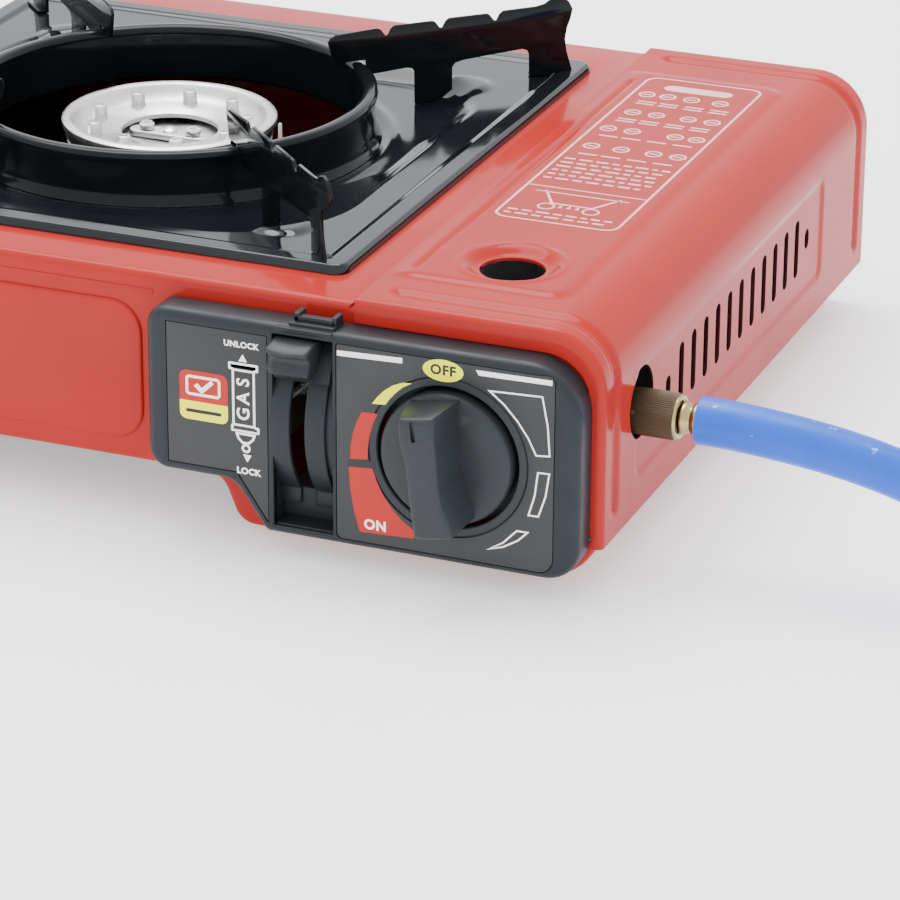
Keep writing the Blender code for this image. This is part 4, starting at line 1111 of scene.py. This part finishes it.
def make_prints():
    badge = (120.9, 74.9)
    ellipse = [(badge[0] + 6.9 * cos(a), badge[1] + 3.7 * sin(a)) for a in np.radians(np.arange(0, 360, 8))]
    can = rounded([
        (47.2, 42.4, 0.4), (57.2, 42.4, 0.4), (57.2, 44.8, 0.4), (55.8, 44.8, 0.3), (55.8, 63.9, 0.3),
        (57.0, 63.9, 0.4),
        (57.0, 66.5, 0.4), (46.5, 66.5, 0.4), (46.5, 63.9, 0.4), (47.7, 63.9, 0.3), (47.7, 44.8, 0.3),
        (47.2, 44.8, 0.4),
    ], 2)
    neck = [(48.6, 42.2), (56.0, 42.2), (55.2, 40.0), (53.4, 38.4), (51.0, 38.4), (49.4, 40.0)]
    valve = (52.4, 36.9)
    gauges = [
        [(154.6, 71.6), (156.6, 61.5), (157.4, 51.3), (152.4, 50.8), (149.6, 56.4), (146.0, 61.5), (141.6, 66.3),
         (135.9, 70.8)],
        [(153.0, 45.6), (157.4, 45.8), (156.2, 37.5), (153.8, 30.0), (149.9, 29.9), (152.0, 37.3)],
        [(146.3, 24.4), (150.7, 24.4), (147.0, 20.6), (142.0, 17.5), (136.0, 15.7), (141.5, 19.3)],
    ]
    prints = {
        "print_off_badge": (YELLOW_PRINT, [ellipse]),
        "print_small_flame": (YELLOW_PRINT, [[
            (110.3, 68.9), (107.1, 68.6), (103.7, 67.1), (100.8, 64.9), (98.5, 62.4), (96.6, 59.8),
            (101.2, 60.1),
            (102.6, 62.2), (104.6, 64.6), (107.0, 66.9),
        ]]),
        "print_mid_flame": (RED_PRINT, [[
            (93.0, 56.3), (98.6, 56.6), (96.9, 52.6), (95.8, 48.6), (95.2, 44.4), (95.0, 40.2), (89.0, 39.4),
            (89.2, 44.0), (90.0, 48.6), (91.3, 52.6),
        ]]),
        "print_tick": (BLACK_PRINT, [[(88.3, 39.2), (97.2, 40.0), (97.8, 37.6), (88.2, 36.8)]]),
        "print_on_patch": (RED_PRINT, [[
            (88.5, 36.6), (96.8, 37.3), (98.2, 33.2), (100.3, 28.9), (103.2, 24.8), (106.8, 21.0),
            (111.5, 17.6),
            (110.9, 15.2), (92.3, 14.4), (90.3, 21.4), (89.0, 29.2),
        ]]),
        "print_bar_0": (WHITE_PRINT, [[(84.6, 76.2), (107.0, 77.0), (107.0, 75.2), (84.6, 74.4)]]),
        "print_bar_1": (WHITE_PRINT, [[(132.0, 76.9), (157.6, 77.3), (157.6, 75.6), (133.0, 75.2)]]),
        **{f"print_gauge_{k}": (WHITE_PRINT, ribbon(outline, 0.55)) for k, outline in enumerate(gauges)},
        "print_can": (WHITE_PRINT, ribbon(can, 0.75)),
        "print_neck": (WHITE_PRINT, ribbon(neck, 0.75)),
        "print_valve": (WHITE_PRINT, [arc(valve, 1.6, 0, 340, 17), arc(valve, 0.8, 0, 340, 17)]),
        "print_arrow_up": (WHITE_PRINT, [[(50.1, 67.0), (53.1, 67.0), (51.6, 69.6)]]),
        "print_arrow_down": (WHITE_PRINT, [[(51.3, 34.7), (54.3, 34.7), (52.8, 32.1)]]),
        "sticker_red": (RED_PRINT, [rounded([
            (29.0, 50.6, 0), (46.1, 50.6, 0), (46.1, 61.2, 2.4), (29.0, 61.2, 2.4),
        ])]),
        "sticker_yellow": (YELLOW_PRINT, [rounded([
            (29.0, 44.1, 2.4), (46.1, 44.1, 2.4), (46.1, 50.6, 0), (29.0, 50.6, 0),
        ])]),
    }
    for name, (paint, outlines) in prints.items():
        print_on_panel(name, outlines, paint)
    for k, z in enumerate((44.8, 63.9)):
        line = rectangle((48.2, z - 0.35), (55.3, z + 0.35), 0.1, 1)
        print_on_panel(f"print_can_line_{k}", [line], WHITE_PRINT, 0.02)

    lettering("print_off", "OFF", 4.6, badge, BLACK_PRINT, weight=0.16, raise_by=0.02, spacing=1.12)
    lettering("print_on", "ON", 4.7, (97.7, 17.4), WHITE_PRINT, weight=0.18, raise_by=0.02, spacing=1.1)
    for letter, z in zip("GAS", (48.9, 54.4, 59.9)):
        name = "print_gas_" + letter.lower()
        lettering(name, letter, 6.2, (51.8, z), WHITE_PRINT, turn=90, weight=0.13, raise_by=0.02)
    lettering("print_unlock", "UNLOCK", 2.8, (51.1, 72.7), WHITE_PRINT, weight=0.10, spacing=1.08)
    lettering("print_lock", "LOCK", 3.0, (53.2, 28.8), WHITE_PRINT, weight=0.13, spacing=1.08)

    # what stands on the two-colour sticker
    frame_line = ribbon(rounded([(31.2, 52.6, 1.4), (43.6, 52.6, 1.4), (43.6, 59.6, 1.4), (31.2, 59.6, 1.4)]), 0.9)
    check = [(34.2, 56.0), (35.4, 57.1), (36.9, 55.5), (40.2, 58.6), (41.2, 57.6), (36.9, 53.4)]
    for name, paint, outlines in (
        ("sticker_tick", WHITE_PRINT, frame_line),
        ("sticker_line", BLACK_PRINT, [rectangle((31.2, 46.6), (43.8, 47.8), 0.3, 2)]),
        ("sticker_check", WHITE_PRINT, [check]),
    ):
        made = slab(name, outlines, "XZ", PANEL_FRONT - 0.02, PANEL_FRONT + 0.03, paint, BODY, smooth=0)


# Knob and lever


def make_knob():
    x, z = KNOB_AXIS
    disc = turned("knob_disc", [
        (0, 7.9), (22.2, 7.9), (KNOB_RADIUS, 7.4), (KNOB_RADIUS, 2.2), (22.0, 1.0), (21.2, 0.45),
        (20.2, 0.35), (19.8, 0.15), (12, -0.1), (0, -0.1),
    ], (x, KNOB_FACE, z), PLASTIC_EDGE, axis="Y", steps=128, smooth=40)
    rings = []
    lean = radians(9)
    left_edge = [(-19.6, -6.0), (-12, -6.0), (-4, -5.9), (4, -5.35), (9, -5.8), (14, -6.3), (20.6, -5.9)]
    right_edge = [(-19.6, 6.6), (-14.6, 6.5), (-9.2, 4.8), (-2, 4.4), (6, 5.1), (14, 5.6), (20.6, 6.1)]
    stations = [-19.6, -19.5, -19.2, -18.6, *np.linspace(-17.6, 18, 30), *np.linspace(18.6, 20.6, 10)]
    for s in stations:
        tip = float(step_up((-18.9 - s) / 0.7)) * 0.6
        crown = float(np.clip((s - 18.4) / 2.2, 0, 1))
        height = 18.0 - tip - 1.9 * (1 - sqrt(1 - crown * crown)) - 0.9 * float(step_up((s - 12) / 8))
        low = float(np.interp(s, *zip(*left_edge))) + tip
        high = float(np.interp(s, *zip(*right_edge))) - tip
        base = 1.3 + 1.1 * crown
        ring = []
        for u, h in (
            (low - base, 0.02), (low - 0.5 * base, 0.5), (low - 0.1, 0.93), (low + 0.3, 0.975),
            (low + 1.0, 0.995), (low + 3, 1),
            (high - 3, 1), (high - 1.0, 0.995), (high - 0.3, 0.975), (high + 0.1, 0.93),
            (high + 0.5 * base, 0.5), (high + base, 0.02),
        ):
            px = x + u * cos(lean) - s * sin(lean)
            pz = z + u * sin(lean) + s * cos(lean)
            ring.append((px, KNOB_FACE + 1.2 - h * (height + 1.2), pz))
        rings.append(ring)
    grip = loft("knob_grip", rings, PLASTIC_EDGE, smooth=50)
    mark = arc((0, 19.2), 0.75, 0, 180, 6) + arc((0, 13.9), 0.75, 180, 360, 6)
    turn = Matrix.Translation((x, 0, z)) @ Matrix.Rotation(-lean, 4, "Y")
    slot = slab("cut_mark", [[(u - 1.0, v) for u, v in mark]], "XZ", GRIP_FRONT - 2, GRIP_FRONT + 1.6, turn=turn)
    carve(grip, slot, smooth=50)
    knob = joined("control_knob_shell", [disc, grip])
    hand_in(knob, "knob", KNOB)


def thumb_rings():
    """Sections of the thumb pad across its width: a scooped front under a lip, fuller in the middle."""
    rings = []
    for x in (62.4, 62.6, 63.0, *np.linspace(63.8, 76.0, 14), 76.8, 77.2, 77.4):
        side = min(x - 62.4, 77.4 - x)
        draw = 1.1 * (1 - sqrt(1 - (1 - min(side / 1.1, 1)) ** 2))
        belly = 0.7 * cos(pi * (x - 69.9) / 15.4) ** 2
        left = 1.0 * float(step_up((65 - x) / 2.6))
        front = [
            (-151.5, 67.6), (-158.6, 67.0), (-160.1, 67.2), (-161.0, 68.2), (-160.7, 69.6),
            (-159.6, 71.2), (-159.4, 72.6),
            (-160.3, 74.0), (-161.4, 74.9), (-161.5, 75.6), (-160.9, 76.2), (-157.0, 77.0),
            (-152.2, 77.7), (-149.2, 76.6),
        ]
        centre = (-154.0, 72.2)
        ring = []
        for k, (y, z) in enumerate(front):
            lip = 1 if 8 <= k <= 11 else 0
            y = y - belly * (1.4 if lip else 0.6) + (left if not lip and 1 <= k <= 7 else 0)
            z = z - (0.5 * belly if lip else 0)
            reach = hypot(y - centre[0], z - centre[1])
            pull = 1 - draw / reach
            ring.append((x, centre[0] + (y - centre[0]) * pull, centre[1] + (z - centre[1]) * pull))
        rings.append(ring)
    return rings


def make_lever():
    y, z = LEVER_AXIS
    low, high = LEVER_X[0] + 0.05, LEVER_X[1] - 0.05
    axis = Matrix.Translation((0, y, z))
    tilt = axis @ Matrix.Rotation(-radians(LEVER_REST), 4, "X") @ axis.inverted()
    a = radians(90 - LEVER_TURN / 2)
    peg = (y + LINK_REACH * cos(a), z + LINK_REACH * sin(a))
    shank = [(y - 37, z - 3.5), (y - 4, z - 3.5), (y - 4, z + 3.5), (y - 37, z + 3.5)]
    link_arm = [(y - 4, z + 3), (y + 4, z + 3), (peg[0] + 2, peg[1] + 2), (peg[0] - 3, peg[1] + 2)]
    peg_shape = [(0, 0), (1.8, 0), (1.8, 7.6), (1.4, 8), (0, 8)]
    eye = [arc(LEVER_AXIS, 6, 0, 352, 44), arc(LEVER_AXIS, 2, 0, 345, 23)]
    arm = [
        slab("a", eye, "YZ", *LEVER_X, PLASTIC, edge=0.3),
        slab("a", [shank], "YZ", low, high, ZINC, edge=0.2, turn=tilt),
        slab("a", [link_arm], "YZ", low, high, PLASTIC),
        turned("a", peg_shape, (LEVER_X[0] + 1, *peg), ZINC, axis="X", steps=32),
    ]
    sector = channel_sector(35.2, 38.6, 28, 50, 16)
    shoe = slab("shoe", [sector], "YZ", CHANNEL[0] + 0.8, CHANNEL[1] - 0.8, PLASTIC, edge=0.8)
    thumb = loft("thumb", thumb_rings(), PLASTIC_EDGE, smooth=50)
    lever = joined("lock_lever_shell", [*arm, shoe, thumb])
    hand_in(lever, "lever", LEVER)


# Feet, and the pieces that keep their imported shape


def make_feet():
    for side, y in (("front", -118), ("rear", 118)):
        for end, x, top in (("left", -150, LEFT_FLOOR + 1.2), ("right", 140, BAY_FLOOR - GAP)):
            profile = [(0, 0.0), (7.2, 0.0), (8.4, 0.35), (8.9, 1.1)]
            if top > 5:
                profile += [(8.6, 3.0), (7.4, 15.0), (7.0, top - 0.4), (6.6, top), (0, top)]
            else:
                profile += [(8.0, top - 0.3), (7.4, top), (0, top)]
            foot = turned(f"rubber_foot_{side}_{end}", profile, (x, y, 0), RUBBER, BODY, steps=48)
            hand_in(foot, f"foot_{side}_{end}")


def paint_the_rest():
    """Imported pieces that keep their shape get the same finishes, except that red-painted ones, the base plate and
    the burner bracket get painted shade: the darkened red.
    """
    finishes = {
        # imported red-painted pieces get painted shade, the darkened red, not the lit red
        "red_paint": RED_PAINTED_SHADE, "black_enamel": ENAMEL, "black_plastic": PLASTIC, "galvanised": ZINC,
        "cast_aluminium": CAST, "brass": YELLOW_BRASS, "rubber": RUBBER, "ceramic": CERAMIC,
    }
    slots = {entry["node"]: entry["material_slot"] for entry in frame["record"]["subparts"]}
    unlit = ("base_plate", "burner_bracket")
    for name, node in frame["nodes"].items():
        if name in unlit or not node.hide_render:
            node.data.materials.clear()
            node.data.materials.append(RED_PAINTED_SHADE if name in unlit else finishes[slots[name]])


# Studio


def make_stage():
    made, shader = shader_of("floor", (0.92, 0.92, 0.925), 0.55)
    shader.inputs["Emission Color"].default_value = (1, 1, 1, 1)
    shader.inputs["Emission Strength"].default_value = 0.5
    tree = made.node_tree
    mix = blend(tree, remap(tree, noise(tree, 6, 5), 0, 1), (0.91, 0.91, 0.915), (0.95, 0.95, 0.955))
    tree.links.new(mix.outputs["Result"], shader.inputs["Base Color"])
    mesh = bpy.data.meshes.new("floor")
    mesh.from_pydata([(-6, -6, 0), (6, -6, 0), (6, 6, 0), (-6, 6, 0)], [], [(0, 1, 2, 3)])
    mesh.materials.append(made)
    floor = bpy.data.objects.new("floor", mesh)
    link(floor)

    world_made = bpy.data.worlds.new("studio")
    world_made.use_nodes = True
    sky = world_made.node_tree.nodes["Background"]
    sky.inputs["Color"].default_value = (0.95, 0.97, 1.0, 1)
    sky.inputs["Strength"].default_value = 2.2
    bpy.context.scene.world = world_made

    light = bpy.data.lights.new("softbox_top", "AREA")
    light.size = 1.3
    light.energy = 50
    lamp = bpy.data.objects.new("softbox_top", light)
    where = Vector((-0.45, 0.45, 1.75))
    lamp.location = where
    lamp.rotation_euler = (Vector((0.05, 0, 0)) - where).to_track_quat("-Z", "Y").to_euler()
    link(lamp)


make_camera()
hose = make_hose()
hose_metal = make_hose_metal()
end_fitting = make_end_fitting()
make_lid()
make_label()
make_casing()
make_tray()
make_ring()
make_pan_supports()
make_burner()
make_panel()
make_prints()
make_knob()
make_lever()
make_feet()
paint_the_rest()
make_stage()
